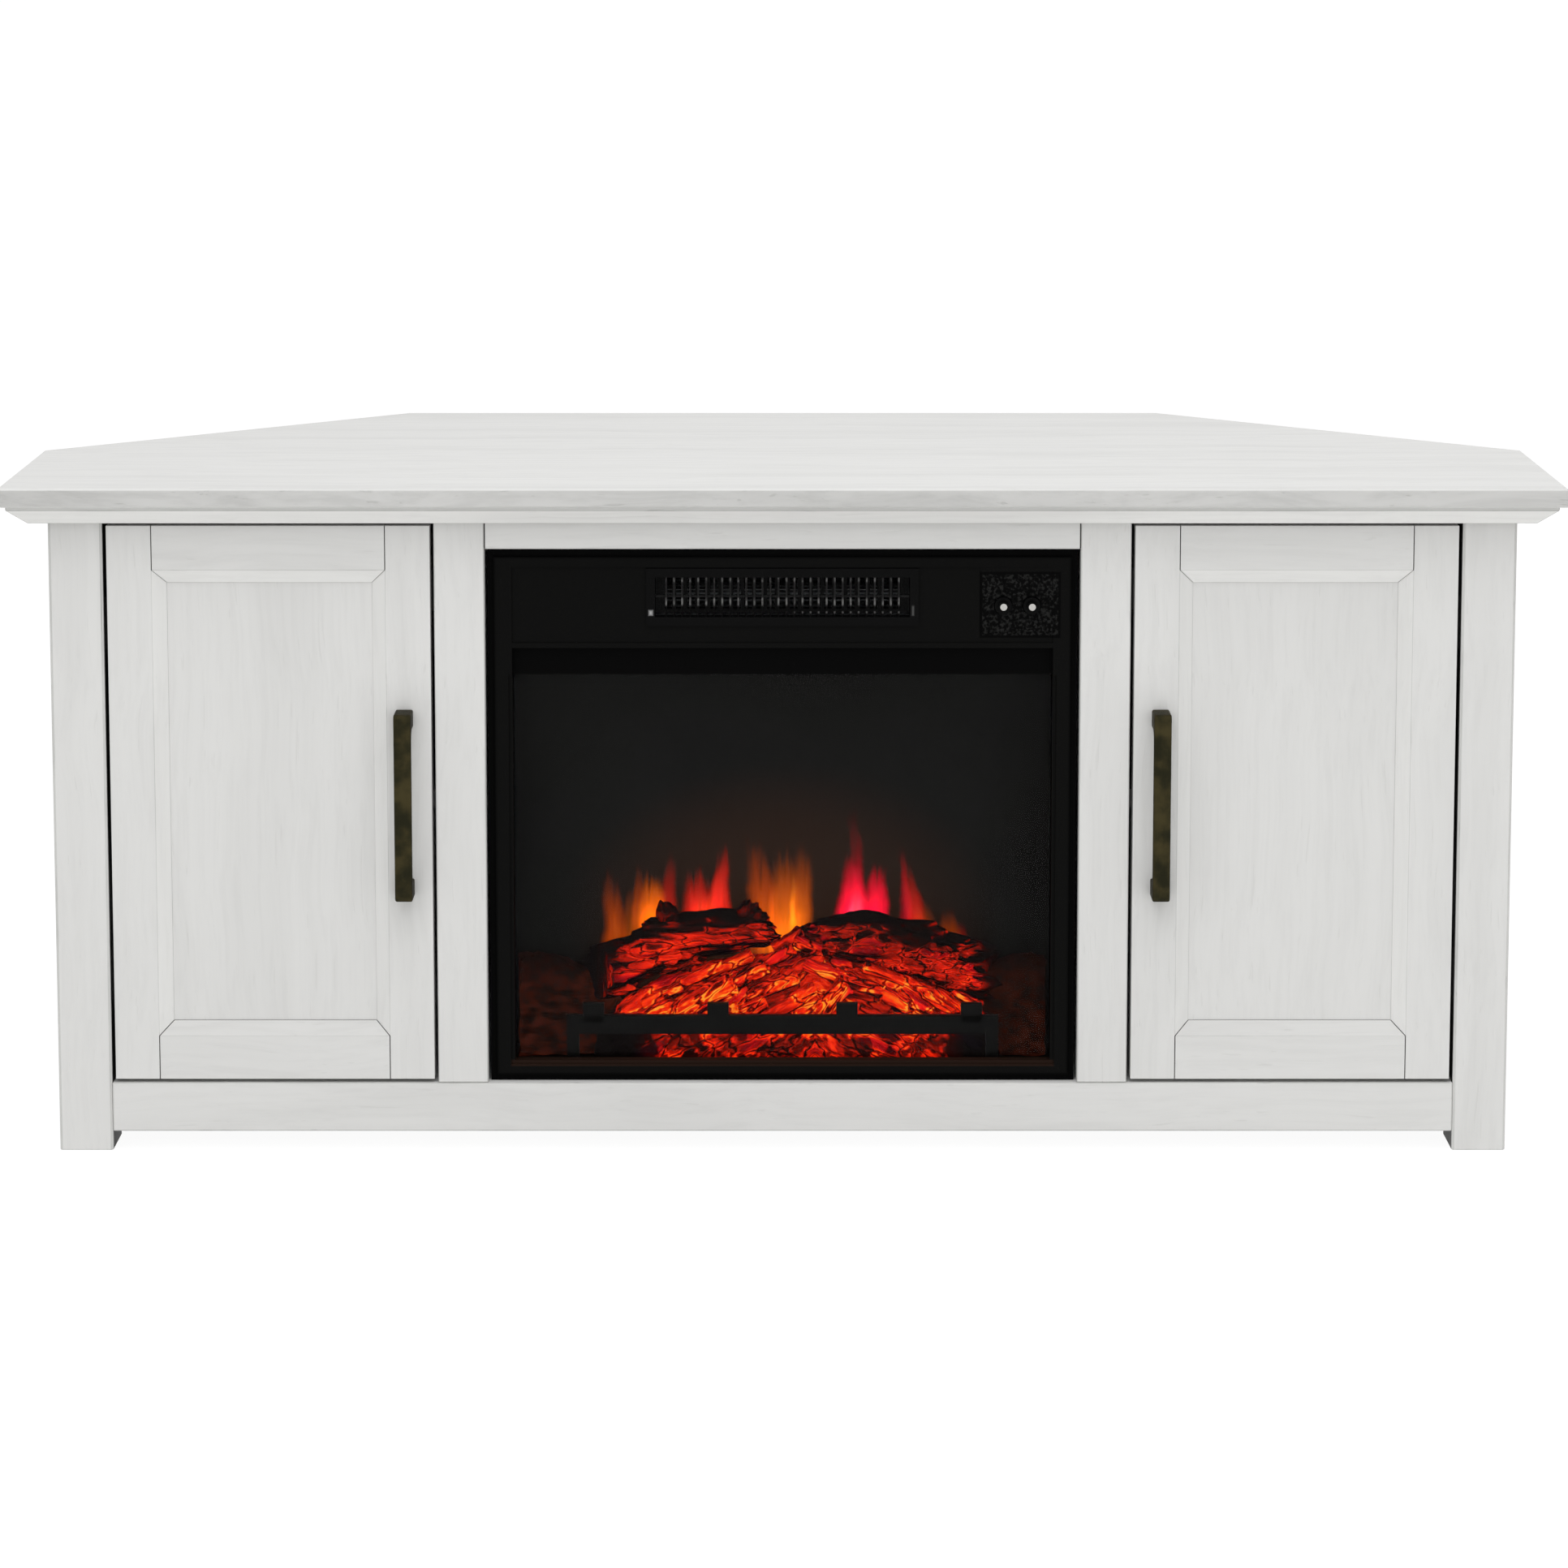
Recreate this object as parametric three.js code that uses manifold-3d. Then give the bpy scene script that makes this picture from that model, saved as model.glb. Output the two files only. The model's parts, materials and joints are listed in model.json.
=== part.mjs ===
// Corner media cabinet with two framed doors and an electric fireplace insert.
// Millimetres, +Z up, the front faces -Y, the origin is on the floor under the middle of the top.

import * as THREE from 'three';
import { mergeVertices } from 'three/addons/utils/BufferGeometryUtils.js';
import Module from 'manifold-3d';

const wasm = await Module();
wasm.setup();

// Clearances
const seatGap = 0.3; // between neighbours that meet on a slant or on a round face
const runningGap = 0.3; // between a pin or shaft and the hole that it turns in
const cutOverrun = 5; // how far a cutting solid runs past the faces that it cuts

// Top and the bevelled board under it
const overallHeight = 534;
const topWidth = 1219;
const topDepth = 532;
const topSideLength = 252;
const topThickness = 15;
const topEase = 1;
const underThickness = 15;
const underStep = 6;
const underFlat = 3;
const underBevelRun = 15;

// Case
const caseSetback = 30;
const sideSetback = 35;
const wallSetback = 12;
const legWidth = 42.5;
const legDepth = 50;
const legEase = 1.5;
const cornerLegRun = 42.5;
const cornerLegThickness = 20;
const sidePanelThickness = 15;
const backPanelThickness = 9;
const faceThickness = 18;
const footHeight = 15.5;
const bottomRailHeight = 39.5;
const topRailHeight = 21.5;
const insertOpeningWidth = 467;
const innerStileWidth = 39.5;
const bottomPanelThickness = 15;
const partitionThickness = 15;

// Shelves and their pins
const shelfThickness = 15;
const shelfRise = 0.5; // of its top over the middle of the bay
const shelfSetback = 45;
const shelfPlay = 0.5;
const shelfPinRadius = 2.5;
const shelfPinReach = 8;
const shelfPinInset = 40;

// Cable holes and rear vents
const cableHoleRadius = 27;
const cableHoleHeight = 130;
const ventSlotWidth = 10;
const ventSlotHeight = 110;
const ventSlotPitch = 26;
const ventSlotCount = 11;
const ventTopInset = 84;

// Doors
const doorGap = 3;
const frameFlat = 35;
const frameBevelWidth = 11;
const frameBevelDepth = 8.5;
const frameLip = 0.5;
const doorPanelThickness = 6;
const panelGrooveDepth = 6;
const frameJointGap = 0.3;

// Bar handles
const handleLength = 149;
const handleWidth = 13.6;
const handleProjection = 28;
const handleBarThickness = 6;
const handleFootLength = 14;
const handleArchRadius = 9;
const handleCornerRadius = 4;
const handleEdgeInset = 21;
const handleRise = 1.5;

// Cup hinges
const hingeEdgeInset = 21.5;
const hingePinDepth = 9.5;
const hingePinRadius = 1.5;
const hingeEndInset = 80;
const cupRadius = 17.5;
const cupWall = 1.5;
const cupFloor = 0.8;
const eyeWall = 1.2;
const cupFlangeWidth = 24;
const cupFlangeLength = 52;
const cupFlangeThickness = 1;
const armThickness = 2.5;
const armWidth = 12;
const armExitReach = 16.5;
const armExitDrop = 12.7;
const armShoulderDepth = 26.5;
const hingePlateThickness = 2;
const hingePlateWidth = 42;
const hingePlateFront = 13;
const hingePlateBackInset = 3;

// Magnetic catches
const catchWidth = 13;
const catchDepth = 26;
const catchHeight = 34;
const catchTopInset = 18;
const catchPoleThickness = 2;
const catchPoleReach = 1.5;

// Fireplace insert: front frame
const insertRecess = 6;
const insertPlay = 2;
const frameDepth = 12;
const frameRimWidth = 5;
const frameRimStep = 3;
const frameSideBar = 19;
const frameBottomBar = 16;
const frameTopBar = 13.2;
const windowStepWidth = 3;
const windowStepDepth = 2;
const bandHeight = 22;
const bandDepth = 7;
const fasciaGap = 4;
const fasciaHeight = 60;
const fasciaDepth = 1.5;

// Fireplace insert: hot air outlet, control pad and knobs
const outletWidth = 200;
const outletHeight = 31.5;
const outletBottomInset = 20.5;
const outletWall = 2;
const outletBezelWidth = 7;
const outletBezelThickness = 2;
const finPitch = 6.3;
const finThickness = 1.4;
const finDepth = 8;
const finInset = 1.5;
const controlPadWidth = 57;
const controlPadHeight = 51;
const controlPadThickness = 1;
const knobSpacing = 22.4;
const knobRowHeight = 21;
const knobSideInset = 17;
const knobSkirtRadius = 7.5;
const knobSkirtThickness = 4;
const knobCapRadius = 4;
const knobCapHeight = 7;
const knobCapEase = 0.8;
const knobShaftRadius = 3;
const knobShaftLength = 9;
const knobPointerWidth = 1.2;

// Fireplace insert: glass and housing
const glassThickness = 4;
const glassOverlap = 4;
const housingSideInset = 11.5;
const housingDepth = 180;
const housingTopInset = 2;
const sheetThickness = 2;
const heaterBayHeight = 84;
const intakeSlotWidth = 5;
const intakeSlotHeight = 40;
const intakeSlotPitch = 12;
const intakeSlotCount = 21;
const intakeSlotRise = 22;

// Burner: screen, logs, grate, flame spindle and light board
const screenDepth = 118;
const screenThickness = 3;
const bedFront = 36;
const bedSideInset = 42;
const bedDepth = 74;
const bedHeight = 122;
const grateBarHeight = 15;
const grateBarThickness = 6;
const grateBarLift = 31.5;
const grateSideInset = 45.5;
const grateGap = 4;
const grateLegWidth = 10;
const gratePostWidth = 17;
const gratePostRise = 10;
const gratePostSpacing = 103;
const spindleDepth = 150;
const spindleHeight = 92;
const spindleShaftRadius = 2;
const petalPitch = 25;
const petalEndInset = 14;
const petalLength = 20;
const petalReach = 14;
const petalThickness = 1;
const spindleMotorRadius = 18;
const spindleMotorLength = 16;
const boardWidth = 20;
const boardEndInset = 33;
const boardThickness = 1.6;
const ledPitch = 30;
const ledRadius = 2.5;
const ledHeight = 3;

// Heater: tangential blower and element
const blowerDepth = 92;
const blowerRadius = 22;
const blowerTipGap = 4.5;
const bladeCount = 16;
const bladeThickness = 1;
const bladeChord = 8;
const bladeCurve = 2;
const rotorDiscThickness = 1.5;
const rotorShaftRadius = 3;
const scrollWall = 1.5;
const scrollMargin = 6;
const blowerPlateThickness = 2;
const blowerPlateGap = 4;
const blowerMotorRadius = 23;
const blowerMotorLength = 34;
const elementFront = 22;
const elementDepth = 10;
const elementSlotPitch = 9;
const elementSlotWidth = 6;
const elementRim = 3;

// Cord gland in the rear of the insert
const glandRadius = 6;
const glandFlangeRadius = 9;
const glandFlangeThickness = 3;
const glandBoreRadius = 3.5;
const glandSideInset = 40;
const glandHeight = 30;

// Numbers of flats on round faces
const fineSides = 32;
const plainSides = 16;
const pinSides = 12;

// Places that follow from the sizes
const topFront = -topDepth / 2;
const topBack = topDepth / 2;
const topHalf = topWidth / 2;
const cornerRun = topDepth - topSideLength;
const topBackHalf = topHalf - cornerRun;
const topUnderside = overallHeight - topThickness;
const caseTop = topUnderside - underThickness;
const caseFront = topFront + caseSetback;
const faceBack = caseFront + faceThickness;
const caseHalf = topHalf - sideSetback;
const legInner = caseHalf - legWidth;
const legBack = caseFront + legDepth;
const stileInner = insertOpeningWidth / 2;
const stileOuter = stileInner + innerStileWidth;
const doorOpeningWidth = legInner - stileOuter;
const floorTop = footHeight + bottomRailHeight;
const openingTop = caseTop - topRailHeight;
const innerSide = caseHalf - cornerLegThickness;

// Basic shapes

// Leaves only positions, with shared corners merged, and turns an inside-out mesh the right way.
function closed(geometry) {
  const bare = geometry.clone();
  bare.deleteAttribute('normal');
  bare.deleteAttribute('uv');
  const welded = mergeVertices(bare);
  const order = welded.index.array;
  const corner = (k) => new THREE.Vector3().fromBufferAttribute(welded.attributes.position, order[k]);
  let volume = 0;
  for (let k = 0; k < order.length; k += 3) {
    volume += corner(k).dot(corner(k + 1).cross(corner(k + 2)));
  }
  if (volume < 0) {
    for (let k = 0; k < order.length; k += 3) {
      [order[k + 1], order[k + 2]] = [order[k + 2], order[k + 1]];
    }
  }
  return welded;
}

// Cycles the axes so that what was drawn along z runs along the axis asked for.
function alongAxis(geometry, axis) {
  const place = geometry.attributes.position;
  for (let i = 0; i < place.count; i += 1) {
    const [u, v, w] = [place.getX(i), place.getY(i), place.getZ(i)];
    if (axis === 'x') place.setXYZ(i, w, u, v);
    if (axis === 'y') place.setXYZ(i, v, w, u);
  }
  return geometry;
}

// A straight solid on an outline. The outline is (x, y) along z, (y, z) along x and (x, z) along y.
function prism(outline, from, to, axis = 'z', holes = []) {
  const swapped = (points) => points.map((p) => new THREE.Vector2(p.y, p.x)).reverse();
  const turn = (points) => (axis === 'y' ? swapped(points) : points);
  const shape = new THREE.Shape(turn(outline));
  shape.holes = holes.map((hole) => new THREE.Path(turn(hole)));
  const geometry = new THREE.ExtrudeGeometry(shape, { depth: to - from, bevelEnabled: false });
  const place = geometry.attributes.position;
  const middle = (to - from) / 2;
  for (let i = 0; i < place.count; i += 1) {
    place.setZ(i, place.getZ(i) > middle ? to : from);
  }
  return closed(alongAxis(geometry, axis));
}

function rectangle([u0, u1], [v0, v1]) {
  return [[u0, v0], [u1, v0], [u1, v1], [u0, v1]].map(([u, v]) => new THREE.Vector2(u, v));
}

function block(across, deep, high) {
  return prism(rectangle(across, deep), high[0], high[1]);
}

function roundOutline(radius, sides, [u, v] = [0, 0]) {
  return Array.from({ length: sides }, (_, i) => {
    const angle = (2 * Math.PI * (i + 0.5)) / sides;
    return new THREE.Vector2(u + radius * Math.cos(angle), v + radius * Math.sin(angle));
  });
}

function rod(radius, sides, centre, from, to, axis) {
  return prism(roundOutline(radius, sides, centre), from, to, axis);
}

// A turned solid. The profile is (radius, height along the axis).
function turned(profile, sides, axis = 'z') {
  const geometry = new THREE.LatheGeometry(profile.map(([r, h]) => new THREE.Vector2(r, h)), sides);
  const place = geometry.attributes.position;
  for (let i = 0; i < place.count; i += 1) {
    place.setXYZ(i, place.getZ(i), place.getX(i), place.getY(i));
  }
  return closed(alongAxis(geometry, axis));
}

// A solid through rings of equal point count, each at its own height.
function stack(rings) {
  const count = rings[0].points.length;
  const corners = rings.flatMap(({ points, height }) => points.flatMap((p) => [p.x, p.y, height]));
  const faces = [];
  for (let level = 0; level + 1 < rings.length; level += 1) {
    for (let i = 0; i < count; i += 1) {
      const [a, b] = [level * count + i, level * count + ((i + 1) % count)];
      faces.push(a, b, b + count, a, b + count, a + count);
    }
  }
  const cap = THREE.ShapeUtils.triangulateShape(rings[0].points, []);
  const last = (rings.length - 1) * count;
  cap.forEach(([a, b, c]) => faces.push(c, b, a, last + a, last + b, last + c));
  const geometry = new THREE.BufferGeometry();
  geometry.setAttribute('position', new THREE.Float32BufferAttribute(corners, 3));
  geometry.setIndex(faces);
  return closed(geometry);
}

// Joins, cuts and mirror copies

function toSolid(geometry) {
  return new wasm.Manifold(new wasm.Mesh({
    numProp: 3,
    vertProperties: Float32Array.from(geometry.attributes.position.array),
    triVerts: Uint32Array.from(geometry.index.array),
  }));
}

function toGeometry(solid) {
  const mesh = solid.getMesh();
  const geometry = new THREE.BufferGeometry();
  geometry.setAttribute('position', new THREE.BufferAttribute(mesh.vertProperties, 3));
  geometry.setIndex(new THREE.BufferAttribute(mesh.triVerts, 1));
  return geometry;
}

function joined(...pieces) {
  return toGeometry(pieces.map(toSolid).reduce((whole, piece) => whole.add(piece)));
}

function cut(base, ...tools) {
  return toGeometry(tools.map(toSolid).reduce((whole, tool) => whole.subtract(tool), toSolid(base)));
}

function common(a, b) {
  return toGeometry(toSolid(a).intersect(toSolid(b)));
}

function moved(geometry, x, y, z) {
  return geometry.clone().translate(x, y, z);
}

function mirrored(geometry) {
  return closed(geometry.clone().scale(-1, 1, 1));
}

// Outlines

function meet(a, b) {
  const cross = a.along.cross(b.along);
  const apart = b.start.clone().sub(a.start);
  return a.start.clone().addScaledVector(a.along, apart.cross(b.along) / cross);
}

// Moves each edge of a counter-clockwise outline inwards by its own distance.
function inset(outline, distances) {
  const count = outline.length;
  const lines = outline.map((point, i) => {
    const along = outline[(i + 1) % count].clone().sub(point).normalize();
    const inward = new THREE.Vector2(-along.y, along.x);
    return { start: point.clone().addScaledVector(inward, distances[i]), along };
  });
  return lines.map((line, i) => meet(lines[(i + count - 1) % count], line));
}

// Edges in order: front, right side, right wall, back, left wall, left side.
function insetPlan(outline, { front = 0, side = 0, wall = 0 }) {
  return inset(outline, [front, side, wall, wall, wall, side]);
}

// The part of an outline on one side of a line across it at that x.
function clipped(outline, x, side) {
  const kept = [];
  outline.forEach((point, i) => {
    const next = outline[(i + 1) % outline.length];
    const [here, there] = [side * (point.x - x), side * (next.x - x)];
    if (here >= 0) kept.push(point.clone());
    if (here * there < 0) {
      const crossing = point.clone().lerp(next, here / (here - there));
      kept.push(new THREE.Vector2(x, crossing.y));
    }
  });
  return kept;
}

const topPlan = [
  [-topHalf, topFront], [topHalf, topFront], [topHalf, topFront + topSideLength],
  [topBackHalf, topBack], [-topBackHalf, topBack], [-topHalf, topFront + topSideLength],
].map(([x, y]) => new THREE.Vector2(x, y));

const casePlan = insetPlan(topPlan, { front: caseSetback, side: sideSetback, wall: wallSetback });
const innerPlan = insetPlan(casePlan, {
  front: faceThickness, side: cornerLegThickness, wall: cornerLegThickness,
});
const [, , sideCorner, backCorner] = casePlan;
const [, , innerSideCorner, innerBackCorner] = innerPlan;
const wallDirection = backCorner.clone().sub(sideCorner).normalize();
const caseBack = backCorner.y;
const innerBack = innerBackCorner.y;

// Materials

function finish(color, roughness, metalness = 0) {
  return new THREE.MeshStandardMaterial({ color, roughness, metalness });
}

const paintedWood = finish(0xd8d8d6, 0.6);
const bronze = finish(0x37322a, 0.45, 0.8);
const nickelSteel = finish(0xa8a8a6, 0.35, 1);
const blackSteel = finish(0x161615, 0.5, 0.2);
const blackPlastic = finish(0x101010, 0.55);
const galvanised = finish(0x8f9294, 0.45, 0.9);
const smokedGlass = finish(0x1a1a18, 0.08);
const flameAcrylic = finish(0x141210, 0.2);
const emberResin = finish(0xb8350c, 0.8);
const boardGreen = finish(0x1f5a35, 0.5);
const mirrorFoil = finish(0xc9c9c4, 0.15, 1);

function addPart(group, name, geometry, material, place = [0, 0, 0]) {
  const faceted = geometry.toNonIndexed();
  faceted.computeVertexNormals();
  const mesh = new THREE.Mesh(faceted, material);
  mesh.name = name;
  mesh.position.set(...place);
  group.add(mesh);
  return mesh;
}

function addPair(group, name, geometry, material, place = [0, 0, 0]) {
  const [x, y, z] = place;
  addPart(group, `right_${name}`, geometry, material, [x, y, z]);
  addPart(group, `left_${name}`, mirrored(geometry), material, [-x, y, z]);
}

// Top boards

function topBoard() {
  const eased = inset(topPlan, topPlan.map(() => topEase));
  return stack([
    { points: eased, height: topUnderside },
    { points: topPlan, height: topUnderside + topEase },
    { points: topPlan, height: overallHeight - topEase },
    { points: eased, height: overallHeight },
  ]);
}

function underBoard() {
  const bottomInset = underStep + underBevelRun;
  const upper = insetPlan(topPlan, { front: underStep, side: underStep, wall: wallSetback });
  const lower = insetPlan(topPlan, { front: bottomInset, side: bottomInset, wall: wallSetback });
  return stack([
    { points: lower, height: caseTop },
    { points: upper, height: topUnderside - underFlat },
    { points: upper, height: topUnderside },
  ]);
}

// Legs, stiles and rails

function frontLeg() {
  const outline = [
    [legInner, caseFront + legEase], [legInner + legEase, caseFront],
    [caseHalf - legEase, caseFront], [caseHalf, caseFront + legEase],
    [caseHalf, legBack], [legInner, legBack],
  ].map(([x, y]) => new THREE.Vector2(x, y));
  return prism(outline, 0, caseTop);
}

// An L-shaped leg that wraps an obtuse corner of the case with a run along each wall.
function cornerLeg(corner, innerCorner, alongA, alongB) {
  const inwardA = alongA.clone().rotateAround(new THREE.Vector2(), -Math.PI / 2);
  const inwardB = alongB.clone().rotateAround(new THREE.Vector2(), Math.PI / 2);
  const endA = corner.clone().addScaledVector(alongA, cornerLegRun);
  const endB = corner.clone().addScaledVector(alongB, cornerLegRun);
  const outline = [
    endA, corner, endB,
    endB.clone().addScaledVector(inwardB, cornerLegThickness),
    innerCorner,
    endA.clone().addScaledVector(inwardA, cornerLegThickness),
  ];
  return prism(outline, 0, caseTop);
}

const towardsFront = new THREE.Vector2(0, -1);
const towardsMiddle = new THREE.Vector2(-1, 0);
const backwardsAlongWall = wallDirection.clone().negate();

// Panels

const shelfTop = (floorTop + caseTop) / 2 + shelfRise;
const shelfUnderside = shelfTop - shelfThickness;
const shelfPinHeight = shelfUnderside - seatGap - shelfPinRadius;
const shelfFront = faceBack + shelfSetback;
const sideLegStart = sideCorner.y - cornerLegRun;
const frontPinPlace = shelfFront + shelfPinInset;
const shelfPlan = clipped(insetPlan(casePlan, {
  front: shelfFront - caseFront,
  side: cornerLegThickness + shelfPlay,
  wall: cornerLegThickness + shelfPlay,
}), stileOuter + shelfPlay, 1);
const rearPinPlace = Math.max(...shelfPlan.map((p) => p.y)) + shelfPlay - shelfPinInset;

// What fits inside the case, a gap away from the slanted walls.
const fittedPlan = insetPlan(casePlan, {
  front: faceThickness, side: cornerLegThickness, wall: cornerLegThickness + seatGap,
});

function bottomPanel() {
  const [frontLeft, frontRight, ...rest] = fittedPlan;
  const notched = [
    new THREE.Vector2(-legInner, legBack), new THREE.Vector2(-legInner, frontLeft.y),
    new THREE.Vector2(legInner, frontRight.y), new THREE.Vector2(legInner, legBack),
    new THREE.Vector2(innerSide, legBack), ...rest, new THREE.Vector2(-innerSide, legBack),
  ];
  return prism(notched, floorTop - bottomPanelThickness, floorTop);
}

function sidePanel() {
  const panel = block([innerSide, innerSide + sidePanelThickness], [legBack, sideLegStart],
    [footHeight, caseTop]);
  const pin = rod(shelfPinRadius, pinSides, [frontPinPlace, shelfPinHeight],
    innerSide - shelfPinReach, innerSide + shelfPinReach, 'x');
  return joined(panel, pin);
}

// Drawn flat with x along the wall from the side corner and y out of the case, then turned onto the wall.
function wallPanel() {
  const wallLength = sideCorner.distanceTo(backCorner);
  const start = cornerLegRun + seatGap;
  const end = wallLength - cornerLegRun - seatGap;
  const [front, back] = [-backPanelThickness, 0];
  const hole = roundOutline(cableHoleRadius, fineSides, [wallLength / 2, cableHoleHeight]);
  const board = prism(rectangle([start, end], [footHeight, caseTop]), front, back, 'y', [hole]);
  const pin = rod(shelfPinRadius, pinSides, [start + shelfPinInset, shelfPinHeight],
    front, back + shelfPinReach, 'y');
  return joined(board, pin);
}

// The wall panel's outer face lies behind the corner legs' outer faces by what is left of their thickness.
const wallPanelDepth = cornerLegThickness - backPanelThickness;
const wallInward = wallDirection.clone().rotateAround(new THREE.Vector2(), Math.PI / 2);
const wallPanelPlace = sideCorner.clone()
  .addScaledVector(wallInward, wallPanelDepth + backPanelThickness);
const wallTurn = wallDirection.angle();

function backPanel() {
  const half = backCorner.x - cornerLegRun;
  const ventTop = caseTop - ventTopInset;
  const slots = Array.from({ length: ventSlotCount }, (_, i) => {
    const middle = (i - (ventSlotCount - 1) / 2) * ventSlotPitch;
    return rectangle([middle - ventSlotWidth / 2, middle + ventSlotWidth / 2],
      [ventTop - ventSlotHeight, ventTop]);
  });
  const cableHole = roundOutline(cableHoleRadius, fineSides, [0, cableHoleHeight]);
  return prism(rectangle([-half, half], [footHeight, caseTop]), innerBack,
    innerBack + backPanelThickness, 'y', [cableHole, ...slots]);
}

function partition() {
  const inner = stileOuter - partitionThickness;
  const board = prism(clipped(clipped(fittedPlan, inner, 1), stileOuter, -1), floorTop, caseTop);
  const pins = [frontPinPlace, rearPinPlace].map((y) => rod(shelfPinRadius, pinSides,
    [y, shelfPinHeight], inner + shelfPinReach, stileOuter + shelfPinReach, 'x'));
  return joined(board, ...pins);
}

function shelf() {
  return prism(shelfPlan, shelfUnderside, shelfTop);
}

// A catch with two steel poles that hold the door's back edge.
function magneticCatch() {
  const top = openingTop - catchTopInset;
  const front = faceBack + seatGap + catchPoleReach;
  const body = block([stileOuter, stileOuter + catchWidth], [front, front + catchDepth],
    [top - catchHeight, top]);
  const poleReach = [front - catchPoleReach, front + catchPoleReach];
  const poles = [catchWidth / 4, (catchWidth * 3) / 4].map((x) => block(
    [stileOuter + x - catchPoleThickness / 2, stileOuter + x + catchPoleThickness / 2],
    poleReach, [top - catchHeight + catchPoleThickness, top - catchPoleThickness]));
  return joined(body, ...poles);
}

// Cup hinges, drawn round the hinge pin: x towards the leg, y into the case

const hingeX = legInner - doorGap - hingeEdgeInset;
const hingeY = caseFront + hingePinDepth;
const doorBottom = floorTop + doorGap;
const doorTop = caseTop - doorGap;
const handleMiddleHeight = (doorBottom + doorTop) / 2 + handleRise;
const hingeHeights = { lower: doorBottom + hingeEndInset, upper: doorTop - hingeEndInset };
const eyeRadius = hingePinRadius + runningGap + eyeWall;
const cupBottom = -(eyeRadius + runningGap + cupFloor);
const doorBackY = faceThickness - hingePinDepth;
const legFaceX = legInner - hingeX;

function polyStrap(points, thickness) {
  const side = (sign) => points.map((point, i) => {
    const before = points[Math.max(i - 1, 0)];
    const after = points[Math.min(i + 1, points.length - 1)];
    const into = (i ? point.clone().sub(before) : after.clone().sub(point)).normalize();
    const out = (i + 1 < points.length ? after.clone().sub(point) : into.clone()).normalize();
    const bisector = new THREE.Vector2(-into.y - out.y, into.x + out.x).normalize();
    const stretch = bisector.dot(new THREE.Vector2(-into.y, into.x));
    return point.clone().addScaledVector(bisector, (sign * thickness) / 2 / stretch);
  });
  return [...side(1), ...side(-1).reverse()];
}

function hingeArm() {
  const half = armWidth / 2;
  const plateFace = legFaceX - seatGap;
  const route = [
    [0, 0], [-armExitReach, armExitDrop], [-armExitReach, armShoulderDepth],
    [plateFace - hingePlateThickness / 2, armShoulderDepth],
  ].map(([x, y]) => new THREE.Vector2(x, y));
  const strap = prism(polyStrap(route, armThickness), -half, half);
  const eye = rod(eyeRadius, plainSides, [0, 0], -half, half, 'z');
  const plate = block([plateFace - hingePlateThickness, plateFace],
    [hingePlateFront, legDepth - hingePinDepth - hingePlateBackInset],
    [-hingePlateWidth / 2, hingePlateWidth / 2]);
  const bore = rod(hingePinRadius + runningGap, plainSides, [0, 0], -half - cutOverrun,
    half + cutOverrun, 'z');
  return cut(joined(strap, eye, plate), bore);
}

function hingeCup() {
  const inside = cupRadius - cupWall;
  const cup = turned([[0, cupBottom], [cupRadius, cupBottom], [cupRadius, doorBackY],
    [0, doorBackY]], fineSides, 'y');
  const flange = block([-cupFlangeWidth / 2, cupFlangeWidth / 2],
    [doorBackY, doorBackY + cupFlangeThickness], [-cupFlangeLength / 2, cupFlangeLength / 2]);
  const hollow = turned([[0, cupBottom + cupFloor], [inside, cupBottom + cupFloor],
    [inside, doorBackY + cutOverrun], [0, doorBackY + cutOverrun]], fineSides, 'y');
  const pin = rod(hingePinRadius, plainSides, [0, 0], -inside - cupWall / 2,
    inside + cupWall / 2, 'z');
  return joined(cut(joined(cup, flange), hollow), pin);
}

// Doors, drawn round the same pin, with the hinge edge on the right

const doorFrontY = -hingePinDepth;
const hingeEdge = hingeEdgeInset;
const doorWidth = doorOpeningWidth - 2 * doorGap;
const handleEdge = hingeEdge - doorWidth;
const grooveFront = doorFrontY + frameBevelDepth + frameLip;
const grooveBack = grooveFront + doorPanelThickness;
const frameInner = frameFlat + frameBevelWidth;

// The section of every frame member: how far in from the door's edge, and how deep.
const frameSection = [
  [0, doorFrontY], [frameFlat, doorFrontY], [frameInner, doorFrontY + frameBevelDepth],
  [frameInner, grooveFront], [frameInner - panelGrooveDepth, grooveFront],
  [frameInner - panelGrooveDepth, grooveBack], [frameInner, grooveBack],
  [frameInner, doorBackY], [0, doorBackY],
];
const doorDepth = [doorFrontY - cutOverrun, doorBackY + cutOverrun];

function doorStile(edge, inwards) {
  const section = frameSection.map(([u, y]) => new THREE.Vector2(edge + inwards * u, y));
  const face = [
    [0, doorBottom], [frameFlat, doorBottom], [frameFlat, doorBottom + frameFlat],
    [frameInner, doorBottom + frameInner], [frameInner, doorTop - frameInner],
    [frameFlat, doorTop - frameFlat], [frameFlat, doorTop], [0, doorTop],
  ].map(([u, z]) => new THREE.Vector2(edge + inwards * u, z));
  return common(prism(section, doorBottom, doorTop), prism(face, ...doorDepth, 'y'));
}

function hingeStile() {
  const recesses = Object.values(hingeHeights).map((z) => rod(cupRadius + seatGap, fineSides,
    [0, z], cupBottom - seatGap, doorBackY + cutOverrun, 'y'));
  return cut(doorStile(hingeEdge, -1), ...recesses);
}

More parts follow.
